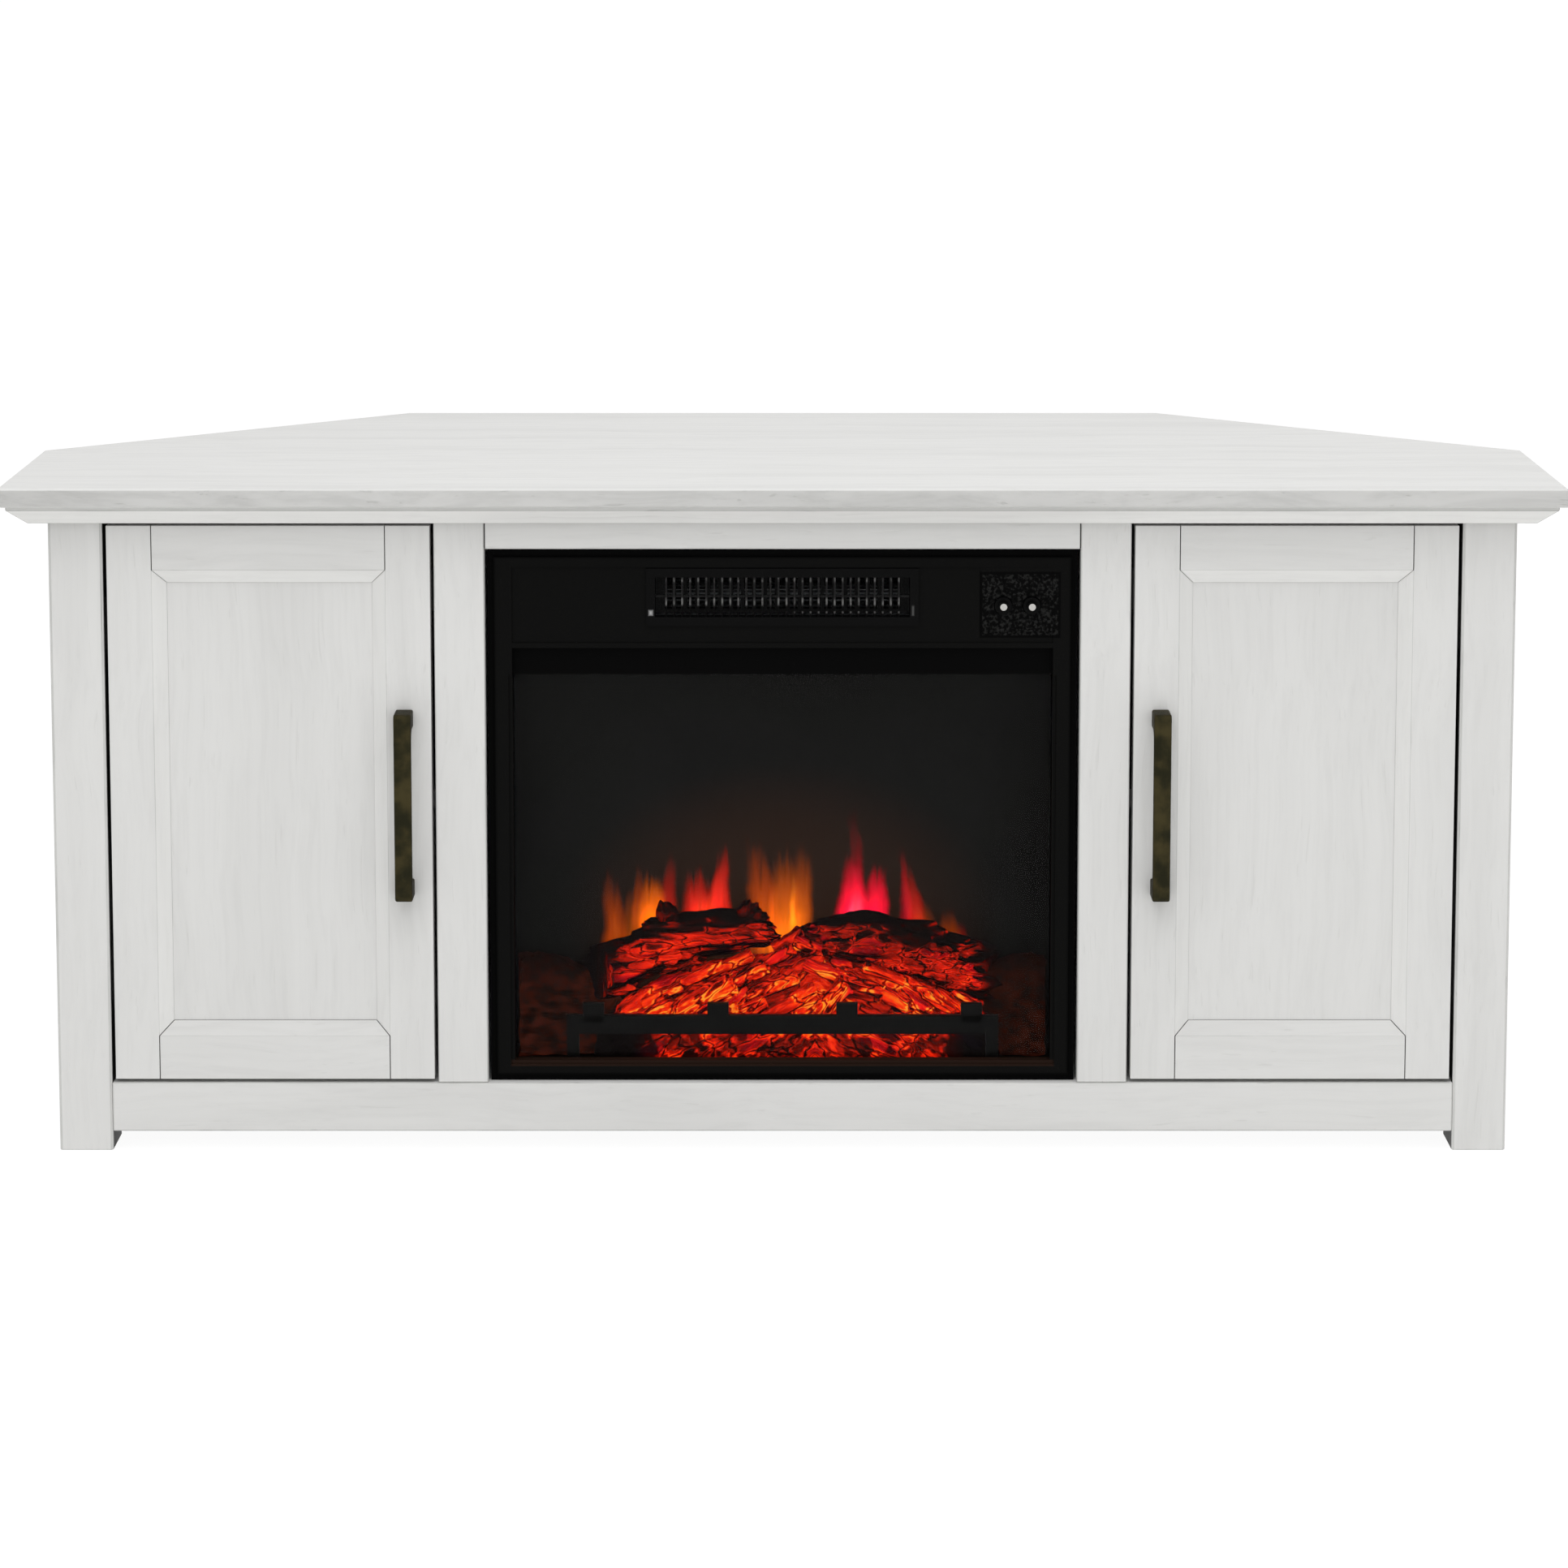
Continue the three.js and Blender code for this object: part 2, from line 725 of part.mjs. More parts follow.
function doorRail(edge, inwards) {
  const section = frameSection.map(([v, y]) => new THREE.Vector2(y, edge + inwards * v));
  const ends = (u) => [[handleEdge + u, 1], [hingeEdge - u, -1]];
  const [left, right] = ends(frameFlat + frameJointGap);
  const face = [
    [left[0], 0], [right[0], 0], [right[0], frameFlat], [right[0] - frameBevelWidth, frameInner],
    [left[0] + frameBevelWidth, frameInner], [left[0], frameFlat],
  ].map(([x, v]) => new THREE.Vector2(x, edge + inwards * v));
  return common(prism(section, handleEdge, hingeEdge, 'x'), prism(face, ...doorDepth, 'y'));
}

function doorPanel() {
  const edge = frameInner - panelGrooveDepth + seatGap;
  return block([handleEdge + edge, hingeEdge - edge], [grooveFront, grooveBack],
    [doorBottom + edge, doorTop - edge]);
}

function barHandle() {
  const front = doorFrontY - handleProjection;
  const barBack = front + handleBarThickness;
  const [low, high] = [-handleLength / 2, handleLength / 2].map((z) => handleMiddleHeight + z);
  const side = new THREE.Shape();
  const quarter = Math.PI / 2;
  side.moveTo(doorFrontY, low);
  side.lineTo(doorFrontY, low + handleFootLength);
  side.lineTo(barBack + handleArchRadius, low + handleFootLength);
  side.absarc(barBack + handleArchRadius, low + handleFootLength + handleArchRadius,
    handleArchRadius, 3 * quarter, 2 * quarter, true);
  side.absarc(barBack + handleArchRadius, high - handleFootLength - handleArchRadius,
    handleArchRadius, 2 * quarter, quarter, true);
  side.lineTo(doorFrontY, high - handleFootLength);
  side.lineTo(doorFrontY, high);
  side.absarc(front + handleCornerRadius, high - handleCornerRadius, handleCornerRadius,
    quarter, 2 * quarter, false);
  side.absarc(front + handleCornerRadius, low + handleCornerRadius, handleCornerRadius,
    2 * quarter, 3 * quarter, false);
  const middle = handleEdge + handleEdgeInset;
  return prism(side.getPoints(pinSides / 2), middle - handleWidth / 2, middle + handleWidth / 2, 'x');
}

// Fireplace insert, drawn from its frame's front and its own underside

const frameHalf = stileInner - insertPlay;
const frameHeight = openingTop - floorTop - seatGap - insertPlay;
const windowHalf = frameHalf - frameSideBar;
const fasciaBottom = frameHeight - frameTopBar - fasciaHeight;
const windowTop = fasciaBottom - fasciaGap - bandHeight;
const outletMiddle = fasciaBottom + outletBottomInset + outletHeight / 2;
const padRight = windowHalf;
const padLeft = padRight - controlPadWidth;
const outletHalf = outletWidth / 2;
const padTop = fasciaBottom + fasciaHeight;
const padFace = fasciaDepth - controlPadThickness;
const knobZ = padTop - controlPadHeight + knobRowHeight;
const knobXs = [padRight - knobSideInset - knobSpacing, padRight - knobSideInset];
const backOfFrame = frameDepth;

function frontFrame() {
  const body = joined(
    block([-frameHalf, frameHalf], [frameRimStep, backOfFrame], [0, frameHeight]),
    block([frameRimWidth - frameHalf, frameHalf - frameRimWidth], [0, backOfFrame],
      [frameRimWidth, frameHeight - frameRimWidth]),
  );
  const through = [-cutOverrun, backOfFrame + cutOverrun];
  const step = windowStepWidth;
  const cuts = [
    block([-windowHalf, windowHalf], through, [frameBottomBar, windowTop]),
    block([-windowHalf - step, windowHalf + step], [-cutOverrun, windowStepDepth],
      [frameBottomBar - step, windowTop]),
    block([-windowHalf, windowHalf], [-cutOverrun, bandDepth], [windowTop, windowTop + bandHeight]),
    block([-windowHalf, windowHalf], [-cutOverrun, fasciaDepth],
      [fasciaBottom, fasciaBottom + fasciaHeight]),
  ];
  const pad = block([padLeft, padRight], [padFace, fasciaDepth + controlPadThickness],
    [padTop - controlPadHeight, padTop]);
  const holeHalf = outletHalf + outletWall + seatGap;
  const holeHeight = outletHeight / 2 + outletWall + seatGap;
  const outlet = block([-holeHalf, holeHalf], through, [outletMiddle - holeHeight, outletMiddle + holeHeight]);
  const knobHoles = knobXs.map((x) => rod(knobShaftRadius + runningGap, plainSides, [x, knobZ],
    ...through, 'y'));
  return cut(joined(cut(body, ...cuts), pad), outlet, ...knobHoles);
}

// A sleeve through the frame with a bezel on its front, upright fins and a cross bar behind them.
function outletGrille() {
  const ring = (grow, from, to) => block([-outletHalf - grow, outletHalf + grow], [from, to],
    [outletMiddle - outletHeight / 2 - grow, outletMiddle + outletHeight / 2 + grow]);
  const bezelFront = fasciaDepth - outletBezelThickness;
  const sleeve = joined(ring(outletBezelWidth, bezelFront, fasciaDepth),
    ring(outletWall, bezelFront, backOfFrame));
  const hollow = cut(sleeve, ring(0, bezelFront - cutOverrun, backOfFrame + cutOverrun));
  const count = Math.floor(outletWidth / finPitch) - 1;
  const reach = outletHeight / 2 + outletWall / 2;
  const finFront = fasciaDepth + finInset;
  const fins = Array.from({ length: count }, (_, i) => {
    const x = (i - (count - 1) / 2) * finPitch;
    return block([x - finThickness / 2, x + finThickness / 2], [finFront, finFront + finDepth],
      [outletMiddle - reach, outletMiddle + reach]);
  });
  const barReach = outletHalf + outletWall / 2;
  const bar = block([-barReach, barReach], [finFront + finDepth / 2, finFront + finDepth],
    [outletMiddle - finThickness / 2, outletMiddle + finThickness / 2]);
  return joined(hollow, bar, ...fins);
}

// A skirted knob with a metal cap, a pointer ridge and a shaft, drawn from the pad's face.
function knob() {
  const skirtFront = -runningGap - knobSkirtThickness;
  const capFront = skirtFront - knobCapHeight;
  const body = turned([
    [0, knobShaftLength], [knobShaftRadius, knobShaftLength], [knobShaftRadius, -runningGap],
    [knobSkirtRadius, -runningGap], [knobSkirtRadius - knobCapEase, skirtFront],
    [knobCapRadius, skirtFront], [knobCapRadius, capFront + knobCapEase],
    [knobCapRadius - knobCapEase, capFront], [0, capFront],
  ], fineSides, 'y');
  const pointer = block([-knobPointerWidth / 2, knobPointerWidth / 2],
    [skirtFront - knobPointerWidth / 2, skirtFront + knobPointerWidth / 2],
    [0, knobSkirtRadius - knobPointerWidth]);
  return joined(body, pointer);
}

function glassFront() {
  return block([-windowHalf - glassOverlap, windowHalf + glassOverlap],
    [backOfFrame, backOfFrame + glassThickness],
    [frameBottomBar - glassOverlap, windowTop + glassOverlap]);
}

const housingHalf = frameHalf - housingSideInset;
const housingBack = backOfFrame + housingDepth;
const housingTop = frameHeight - housingTopInset;
const bayTop = housingTop - sheetThickness;
const bayBottom = bayTop - heaterBayHeight;
const innerHalf = housingHalf - sheetThickness;
const fireCeiling = bayBottom - sheetThickness;
const fireFloor = sheetThickness;
const bedLength = 2 * (innerHalf - bedSideInset);
const glandX = innerHalf - glandSideInset;

// A folded steel box with a fire chamber below and a heater bay above, both open to the front.
function fireboxHousing() {
  const shell = block([-housingHalf, housingHalf], [backOfFrame, housingBack], [0, housingTop]);
  const depth = [backOfFrame - cutOverrun, housingBack - sheetThickness];
  const rear = [housingBack - sheetThickness - cutOverrun, housingBack + cutOverrun];
  const slots = Array.from({ length: intakeSlotCount }, (_, i) => {
    const x = (i - (intakeSlotCount - 1) / 2) * intakeSlotPitch;
    return block([x - intakeSlotWidth / 2, x + intakeSlotWidth / 2], rear,
      [bayBottom + intakeSlotRise, bayBottom + intakeSlotRise + intakeSlotHeight]);
  });
  return cut(shell,
    block([-innerHalf, innerHalf], depth, [fireFloor, fireCeiling]),
    block([-innerHalf, innerHalf], depth, [bayBottom, bayTop]),
    rod(spindleShaftRadius + runningGap, plainSides, [spindleDepth, spindleHeight],
      -housingHalf - cutOverrun, -innerHalf + cutOverrun, 'x'),
    rod(glandRadius + seatGap, plainSides, [glandX, glandHeight], ...rear, 'y'),
    ...slots);
}

function cordGland() {
  const inside = housingBack - sheetThickness;
  const profile = [
    [glandBoreRadius, inside - glandFlangeThickness], [glandFlangeRadius, inside - glandFlangeThickness],
    [glandFlangeRadius, inside], [glandRadius, inside], [glandRadius, housingBack],
    [glandFlangeRadius, housingBack], [glandFlangeRadius - knobCapEase, housingBack + glandFlangeThickness],
    [glandBoreRadius, housingBack + glandFlangeThickness],
    [glandBoreRadius, inside - glandFlangeThickness],
  ];
  return turned(profile, plainSides, 'y');
}

// Burner

function flameScreen() {
  return block([-innerHalf + seatGap, innerHalf - seatGap], [screenDepth, screenDepth + screenThickness],
    [fireFloor, fireCeiling - seatGap]);
}

// Logs as shares of the bed: end places along the length from its middle, along the depth from its
// front and up the height, then the radius as a share of the height.
const logShares = [
  { from: [-0.43, 0.62, 0.50], to: [0.02, 0.66, 0.82], radius: 0.165 },
  { from: [0.10, 0.64, 0.80], to: [0.50, 0.60, 0.52], radius: 0.17 },
  { from: [-0.26, 0.80, 0.60], to: [-0.10, 0.78, 0.93], radius: 0.09 },
  { from: [-0.12, 0.30, 0.36], to: [0.11, 0.40, 0.68], radius: 0.12 },
  { from: [-0.35, 0.22, 0.30], to: [-0.06, 0.30, 0.48], radius: 0.12 },
  { from: [0.06, 0.24, 0.32], to: [0.34, 0.28, 0.44], radius: 0.13 },
  { from: [0.20, 0.40, 0.60], to: [0.44, 0.36, 0.36], radius: 0.11 },
];
const barkShare = 0.1; // height of the bark's ridges as a share of the log's radius
const moundShare = 0.6; // height of the ember mound as a share of the bed's height
const moundRings = 9;
const moundSides = 28;
const logRings = 8;
const logSides = 14;

function bedPoint([along, deep, high]) {
  return new THREE.Vector3(along * bedLength, bedFront + deep * bedDepth, fireFloor + high * bedHeight);
}

// A rough log: rings of ridged bark along a straight axis, closed by flat sawn ends.
function roughLog({ from, to, radius }, seed) {
  const [start, end] = [bedPoint(from), bedPoint(to)];
  const along = end.clone().sub(start).normalize();
  const across = new THREE.Vector3(0, 1, 0).cross(along).normalize();
  const up = along.clone().cross(across);
  const size = radius * bedHeight;
  const corners = [];
  for (let ring = 0; ring <= logRings; ring += 1) {
    const centre = start.clone().lerp(end, ring / logRings);
    for (let i = 0; i < logSides; i += 1) {
      const angle = (2 * Math.PI * i) / logSides;
      const bark = Math.sin(3 * angle + seed + ring) + Math.sin(5 * angle - 2 * seed + ring / 2);
      const reach = size * (1 + barkShare * bark * 0.5);
      const point = centre.clone().addScaledVector(across, reach * Math.cos(angle))
        .addScaledVector(up, reach * Math.sin(angle));
      corners.push(point.x, point.y, point.z);
    }
  }
  const faces = [];
  for (let ring = 0; ring < logRings; ring += 1) {
    for (let i = 0; i < logSides; i += 1) {
      const [a, b] = [ring * logSides + i, ring * logSides + ((i + 1) % logSides)];
      faces.push(a, b, b + logSides, a, b + logSides, a + logSides);
    }
  }
  for (let i = 1; i + 1 < logSides; i += 1) {
    const last = logRings * logSides;
    faces.push(0, i + 1, i, last, last + i, last + i + 1);
  }
  const geometry = new THREE.BufferGeometry();
  geometry.setAttribute('position', new THREE.Float32BufferAttribute(corners, 3));
  geometry.setIndex(faces);
  return closed(geometry);
}

// The heap of embers: a low dome on an oval foot.
function emberMound() {
  const rings = Array.from({ length: moundRings }, (_, level) => {
    const share = level / moundRings;
    const spread = Math.sqrt(1 - share * share);
    const points = roundOutline(1, moundSides).map((p, i) => {
      const lump = 1 + barkShare * Math.sin(2.3 * i + level) * 0.5;
      return new THREE.Vector2(p.x * spread * lump * bedLength / 2,
        bedFront + bedDepth / 2 + p.y * spread * bedDepth / 2);
    });
    return { points, height: fireFloor + share * moundShare * bedHeight };
  });
  return stack(rings);
}

function logSet() {
  const heap = joined(emberMound(), ...logShares.map((log, i) => roughLog(log, i)));
  const space = block([-innerHalf, innerHalf], [bedFront, screenDepth - seatGap],
    [fireFloor, fireFloor + 2 * bedHeight]);
  return common(heap, space);
}

// A front bar on end legs, with two short posts on it.
function grate() {
  const back = bedFront - grateGap;
  const front = back - grateBarThickness;
  const half = innerHalf - grateSideInset;
  const barTop = grateBarLift + grateBarHeight;
  const bar = block([-half, half], [front, back], [grateBarLift, barTop]);
  const legs = [-half, half - grateLegWidth].map((x) => block([x, x + grateLegWidth],
    [front, back], [fireFloor, barTop]));
  const posts = [-1, 1].map((side) => {
    const middle = (side * gratePostSpacing) / 2;
    return block([middle - gratePostWidth / 2, middle + gratePostWidth / 2], [front, back],
      [barTop - grateBarThickness, barTop + gratePostRise]);
  });
  return joined(bar, ...legs, ...posts);
}

// A shaft with mirror petals, each turned on from the last, that throws light up the screen.
function flameSpindle() {
  const motorFace = innerHalf - spindleMotorLength;
  const petalCount = Math.floor((2 * (motorFace - petalEndInset)) / petalPitch);
  const shaft = rod(spindleShaftRadius, pinSides, [0, 0], -housingHalf + runningGap,
    motorFace + spindleMotorLength / 2, 'x');
  const petals = Array.from({ length: petalCount }, (_, i) => {
    const x = (i - (petalCount - 1) / 2) * petalPitch;
    const petal = block([x - petalLength / 2, x + petalLength / 2],
      [-petalThickness / 2, petalThickness / 2], [0, petalReach]);
    return closed(petal.rotateX((i * 2 * Math.PI * 3) / petalCount));
  });
  return joined(shaft, ...petals);
}

function spindleMotor() {
  const can = rod(spindleMotorRadius, fineSides, [spindleDepth, spindleHeight],
    innerHalf - spindleMotorLength, innerHalf, 'x');
  const bore = rod(spindleShaftRadius + runningGap, plainSides, [spindleDepth, spindleHeight],
    innerHalf - spindleMotorLength - cutOverrun, innerHalf - spindleMotorLength / 4, 'x');
  return cut(can, bore);
}

function lightBoard() {
  const half = innerHalf - boardEndInset;
  const ledCount = Math.floor((2 * half) / ledPitch);
  const board = block([-half, half],
    [spindleDepth - boardWidth / 2, spindleDepth + boardWidth / 2], [fireFloor, fireFloor + boardThickness]);
  const lamps = Array.from({ length: ledCount }, (_, i) => {
    const x = (i - (ledCount - 1) / 2) * ledPitch;
    return rod(ledRadius, pinSides, [x, spindleDepth], fireFloor, fireFloor + boardThickness + ledHeight, 'z');
  });
  return joined(board, ...lamps);
}

// Heater

const scrollRadius = blowerRadius + blowerTipGap;
const ductBottom = outletMiddle - outletHeight / 2;
const ductTop = outletMiddle + outletHeight / 2;
const blowerHeight = ductTop - scrollRadius;
const blowerLength = outletWidth;
const plateInner = blowerLength / 2 + blowerPlateGap;
const plateOuter = plateInner + blowerPlateThickness;

// A drum of forward-curved blades between two discs on one shaft, drawn round its axis.
function blowerRotor() {
  const half = blowerLength / 2;
  const discs = [-half, half - rotorDiscThickness].map((x) => rod(blowerRadius, fineSides, [0, 0],
    x, x + rotorDiscThickness, 'x'));
  const shaft = rod(rotorShaftRadius, plainSides, [0, 0], -plateOuter, plateOuter + blowerPlateGap, 'x');
  const steps = 4;
  const inner = blowerRadius - bladeChord;
  const route = Array.from({ length: steps + 1 }, (_, i) => {
    const share = i / steps;
    return new THREE.Vector2(inner + share * bladeChord, bladeCurve * Math.sin(Math.PI * share / 2));
  });
  const section = polyStrap(route, bladeThickness);
  const shortening = Math.cos(Math.PI / fineSides) * (inner + bladeChord) - bladeThickness / 2;
  const fitted = section.map((p) => p.clone().setLength(Math.min(p.length(), shortening)));
  const blades = Array.from({ length: bladeCount }, (_, i) => {
    const turn = (2 * Math.PI * i) / bladeCount;
    const turnedSection = fitted.map((p) => p.clone().rotateAround(new THREE.Vector2(), turn));
    return prism(turnedSection, -half + rotorDiscThickness / 2, half - rotorDiscThickness / 2, 'x');
  });
  return joined(shaft, ...discs, ...blades);
}

// A scroll round the drum that opens into a flat duct to the outlet, its end plates and the motor.
function blowerHousing() {
  const steps = 18;
  const ductFront = backOfFrame + seatGap;
  // From the lip above the rear of the drum, round under it, to where the arc meets the duct's floor.
  const arc = (radius, floor) => {
    const first = 2 * Math.PI + Math.PI / 4;
    const last = Math.PI + Math.asin((blowerHeight - floor) / radius);
    return Array.from({ length: steps + 1 }, (_, i) => {
      const angle = first + ((last - first) * i) / steps;
      return new THREE.Vector2(blowerDepth + radius * Math.cos(angle), blowerHeight + radius * Math.sin(angle));
    });
  };
  const scroll = [
    ...arc(scrollRadius, ductBottom), new THREE.Vector2(ductFront, ductBottom),
    new THREE.Vector2(ductFront, ductBottom - scrollWall),
    ...arc(scrollRadius + scrollWall, ductBottom - scrollWall).reverse(),
  ];
  const lid = rectangle([ductFront, blowerDepth], [ductTop, ductTop + scrollWall]);
  const walls = [scroll, lid].map((outline) => prism(outline, -plateOuter, plateOuter, 'x'));
  const plate = rectangle([backOfFrame + seatGap, blowerDepth + scrollRadius + scrollMargin],
    [bayBottom, ductTop + scrollWall]);
  const plates = [[-plateOuter, -plateInner], [plateInner, plateOuter]].map(([a, b]) => prism(plate, a, b, 'x'));
  const motor = rod(blowerMotorRadius, fineSides, [blowerDepth, blowerHeight], plateInner,
    plateOuter + blowerMotorLength, 'x');
  const bore = rod(rotorShaftRadius + runningGap, plainSides, [blowerDepth, blowerHeight],
    -plateOuter - cutOverrun, plateOuter + 2 * blowerPlateGap, 'x');
  return cut(joined(...walls, ...plates, motor), bore);
}

// A ceramic heater frame with upright slots, held in the duct behind the outlet.
function heaterElement() {
  const half = outletHalf;
  const [low, high] = [ductBottom + seatGap, ductTop - seatGap];
  const body = block([-half, half], [elementFront, elementFront + elementDepth], [low, high]);
  const count = Math.floor((outletWidth - 2 * elementRim) / elementSlotPitch);
  const slots = Array.from({ length: count }, (_, i) => {
    const x = (i - (count - 1) / 2) * elementSlotPitch;
    return block([x - elementSlotWidth / 2, x + elementSlotWidth / 2],
      [elementFront - cutOverrun, elementFront + elementDepth + cutOverrun],
      [low + elementRim, high - elementRim]);
  });
  return cut(body, ...slots);
}

// Assembly

const cabinet = new THREE.Group();
addPart(cabinet, 'top_board', topBoard(), paintedWood);
addPart(cabinet, 'under_board', underBoard(), paintedWood);
addPair(cabinet, 'front_leg', frontLeg(), paintedWood);
addPair(cabinet, 'side_rear_leg',
  cornerLeg(sideCorner, innerSideCorner, towardsFront, wallDirection), paintedWood);
addPair(cabinet, 'back_leg',
  cornerLeg(backCorner, innerBackCorner, backwardsAlongWall, towardsMiddle), paintedWood);
addPair(cabinet, 'inner_stile',
  block([stileInner, stileOuter], [caseFront, faceBack], [floorTop, caseTop]), paintedWood);
addPart(cabinet, 'top_rail',
  block([-stileInner, stileInner], [caseFront, faceBack], [openingTop, caseTop]), paintedWood);
addPart(cabinet, 'bottom_rail',
  block([-legInner, legInner], [caseFront, faceBack], [footHeight, floorTop]), paintedWood);
addPart(cabinet, 'bottom_panel', bottomPanel(), paintedWood);
addPair(cabinet, 'side_panel', sidePanel(), paintedWood);
addPart(cabinet, 'back_panel', backPanel(), paintedWood);
addPair(cabinet, 'partition', partition(), paintedWood);
addPair(cabinet, 'shelf', shelf(), paintedWood);
addPair(cabinet, 'magnetic_catch', magneticCatch(), blackPlastic);

const rightWall = addPart(cabinet, 'right_wall_panel', wallPanel(), paintedWood,
  [wallPanelPlace.x, wallPanelPlace.y, 0]);
rightWall.rotation.z = wallTurn;
const leftWall = addPart(cabinet, 'left_wall_panel', mirrored(wallPanel()), paintedWood,
  [-wallPanelPlace.x, wallPanelPlace.y, 0]);
leftWall.rotation.z = -wallTurn;

Object.entries(hingeHeights).forEach(([level, z]) => {
  addPair(cabinet, `${level}_hinge_arm`, hingeArm(), nickelSteel, [hingeX, hingeY, z]);
});

function doorPieces() {
  const pieces = {
    door_hinge_stile: [hingeStile(), paintedWood],
    door_handle_stile: [doorStile(handleEdge, 1), paintedWood],
    door_top_rail: [doorRail(doorTop, -1), paintedWood],
    door_bottom_rail: [doorRail(doorBottom, 1), paintedWood],
    door_panel: [doorPanel(), paintedWood],
    door_handle: [barHandle(), bronze],
  };
  Object.entries(hingeHeights).forEach(([level, z]) => {
    pieces[`${level}_hinge_cup`] = [moved(hingeCup(), 0, 0, z), nickelSteel];
  });
  return pieces;
}

const rightDoor = new THREE.Group();
const leftDoor = new THREE.Group();
rightDoor.position.set(hingeX, hingeY, 0);
leftDoor.position.set(-hingeX, hingeY, 0);
Object.entries(doorPieces()).forEach(([name, [geometry, material]]) => {
  addPart(rightDoor, `right_${name}`, geometry, material);
  addPart(leftDoor, `left_${name}`, mirrored(geometry), material);
});

const fireplace = new THREE.Group();
fireplace.position.set(0, caseFront + insertRecess, floorTop + seatGap);
addPart(fireplace, 'front_frame', frontFrame(), blackSteel);
addPart(fireplace, 'outlet_grille', outletGrille(), blackPlastic);
addPart(fireplace, 'flame_knob', knob(), nickelSteel, [knobXs[0], padFace, knobZ]);
addPart(fireplace, 'heat_knob', knob(), nickelSteel, [knobXs[1], padFace, knobZ]);
addPart(fireplace, 'glass_front', glassFront(), smokedGlass);
addPart(fireplace, 'firebox_housing', fireboxHousing(), blackSteel);
addPart(fireplace, 'cord_gland', cordGland(), blackPlastic, [glandX, 0, glandHeight]);

const burner = new THREE.Group();
addPart(burner, 'flame_screen', flameScreen(), flameAcrylic);
addPart(burner, 'log_set', logSet(), emberResin);
addPart(burner, 'grate', grate(), blackSteel);
addPart(burner, 'flame_spindle', flameSpindle(), mirrorFoil, [0, spindleDepth, spindleHeight]);
addPart(burner, 'spindle_motor', spindleMotor(), galvanised);
addPart(burner, 'light_board', lightBoard(), boardGreen);

const heater = new THREE.Group();
addPart(heater, 'blower_rotor', blowerRotor(), galvanised, [0, blowerDepth, blowerHeight]);
addPart(heater, 'blower_housing', blowerHousing(), galvanised);
addPart(heater, 'heater_element', heaterElement(), galvanised);
fireplace.add(burner, heater);

const mediaCabinet = new THREE.Group();
mediaCabinet.add(cabinet, rightDoor, leftDoor, fireplace);

export default mediaCabinet;
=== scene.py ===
# %% [markdown]
# # A corner cabinet with an electric fireplace
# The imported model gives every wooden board, hinge and sheet of steel at its true size and place.
# This script only dresses it: it eases the edges of the wood, models the burning logs again with
# bark and coals, and gives each surface a finish. The frame is loaded first, because everything
# that follows is placed by it and rides on its bodies.

# %% Load the frame and keep its box
import json
import math
import random
import bpy
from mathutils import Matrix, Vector

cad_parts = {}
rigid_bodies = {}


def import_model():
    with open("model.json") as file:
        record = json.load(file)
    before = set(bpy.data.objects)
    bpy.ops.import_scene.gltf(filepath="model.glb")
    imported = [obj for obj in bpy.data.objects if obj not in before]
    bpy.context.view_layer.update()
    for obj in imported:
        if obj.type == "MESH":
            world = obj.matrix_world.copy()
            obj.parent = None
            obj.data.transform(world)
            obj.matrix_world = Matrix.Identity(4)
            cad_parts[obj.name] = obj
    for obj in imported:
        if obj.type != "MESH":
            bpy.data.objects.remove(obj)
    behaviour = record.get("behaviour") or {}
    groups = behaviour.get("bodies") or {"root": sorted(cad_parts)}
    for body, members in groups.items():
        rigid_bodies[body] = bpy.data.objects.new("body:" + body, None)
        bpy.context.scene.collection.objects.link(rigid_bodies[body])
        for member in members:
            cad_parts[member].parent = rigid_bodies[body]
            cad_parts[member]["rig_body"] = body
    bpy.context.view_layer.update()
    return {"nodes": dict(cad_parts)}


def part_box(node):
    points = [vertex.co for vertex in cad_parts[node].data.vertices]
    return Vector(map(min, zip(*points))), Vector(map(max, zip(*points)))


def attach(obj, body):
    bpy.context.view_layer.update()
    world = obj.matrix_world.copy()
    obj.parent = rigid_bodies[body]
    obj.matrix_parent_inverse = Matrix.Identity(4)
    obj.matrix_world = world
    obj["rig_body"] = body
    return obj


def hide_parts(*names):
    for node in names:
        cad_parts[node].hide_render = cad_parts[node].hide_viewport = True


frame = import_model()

nodes = frame["nodes"]
MM = 0.001
SIDES = ("right_", "left_")

# %% [markdown]
# ## Camera
# The photograph was taken from a little above the top, four metres in front, with a long lens and
# the uprights kept upright. Most of that is done here by tilting the camera down, and only a
# little of it by lens shift, because the other views of the object keep the same shift.

# %% Camera
TILT = 7.926
camera = bpy.data.objects.new("camera", bpy.data.cameras.new("camera"))
bpy.context.scene.collection.objects.link(camera)
camera.location = (0.0012, -4.0704, 1.0167)
camera.rotation_euler = (math.radians(90 - TILT), 0, 0)
camera.data.sensor_fit = "HORIZONTAL"
camera.data.sensor_width = 36
camera.data.lens = 113.67
camera.data.shift_y = -0.15
bpy.context.scene.camera = camera
print("camera at", tuple(camera.location))

# %% [markdown]
# ## Small helpers for node trees
# Every finish below is a tree of shader nodes. An output of a node is kept as a Signal, which
# adds and multiplies like a number, so that a finish reads from top to bottom as a sum does.
# A constant is set directly on the socket that needs it.

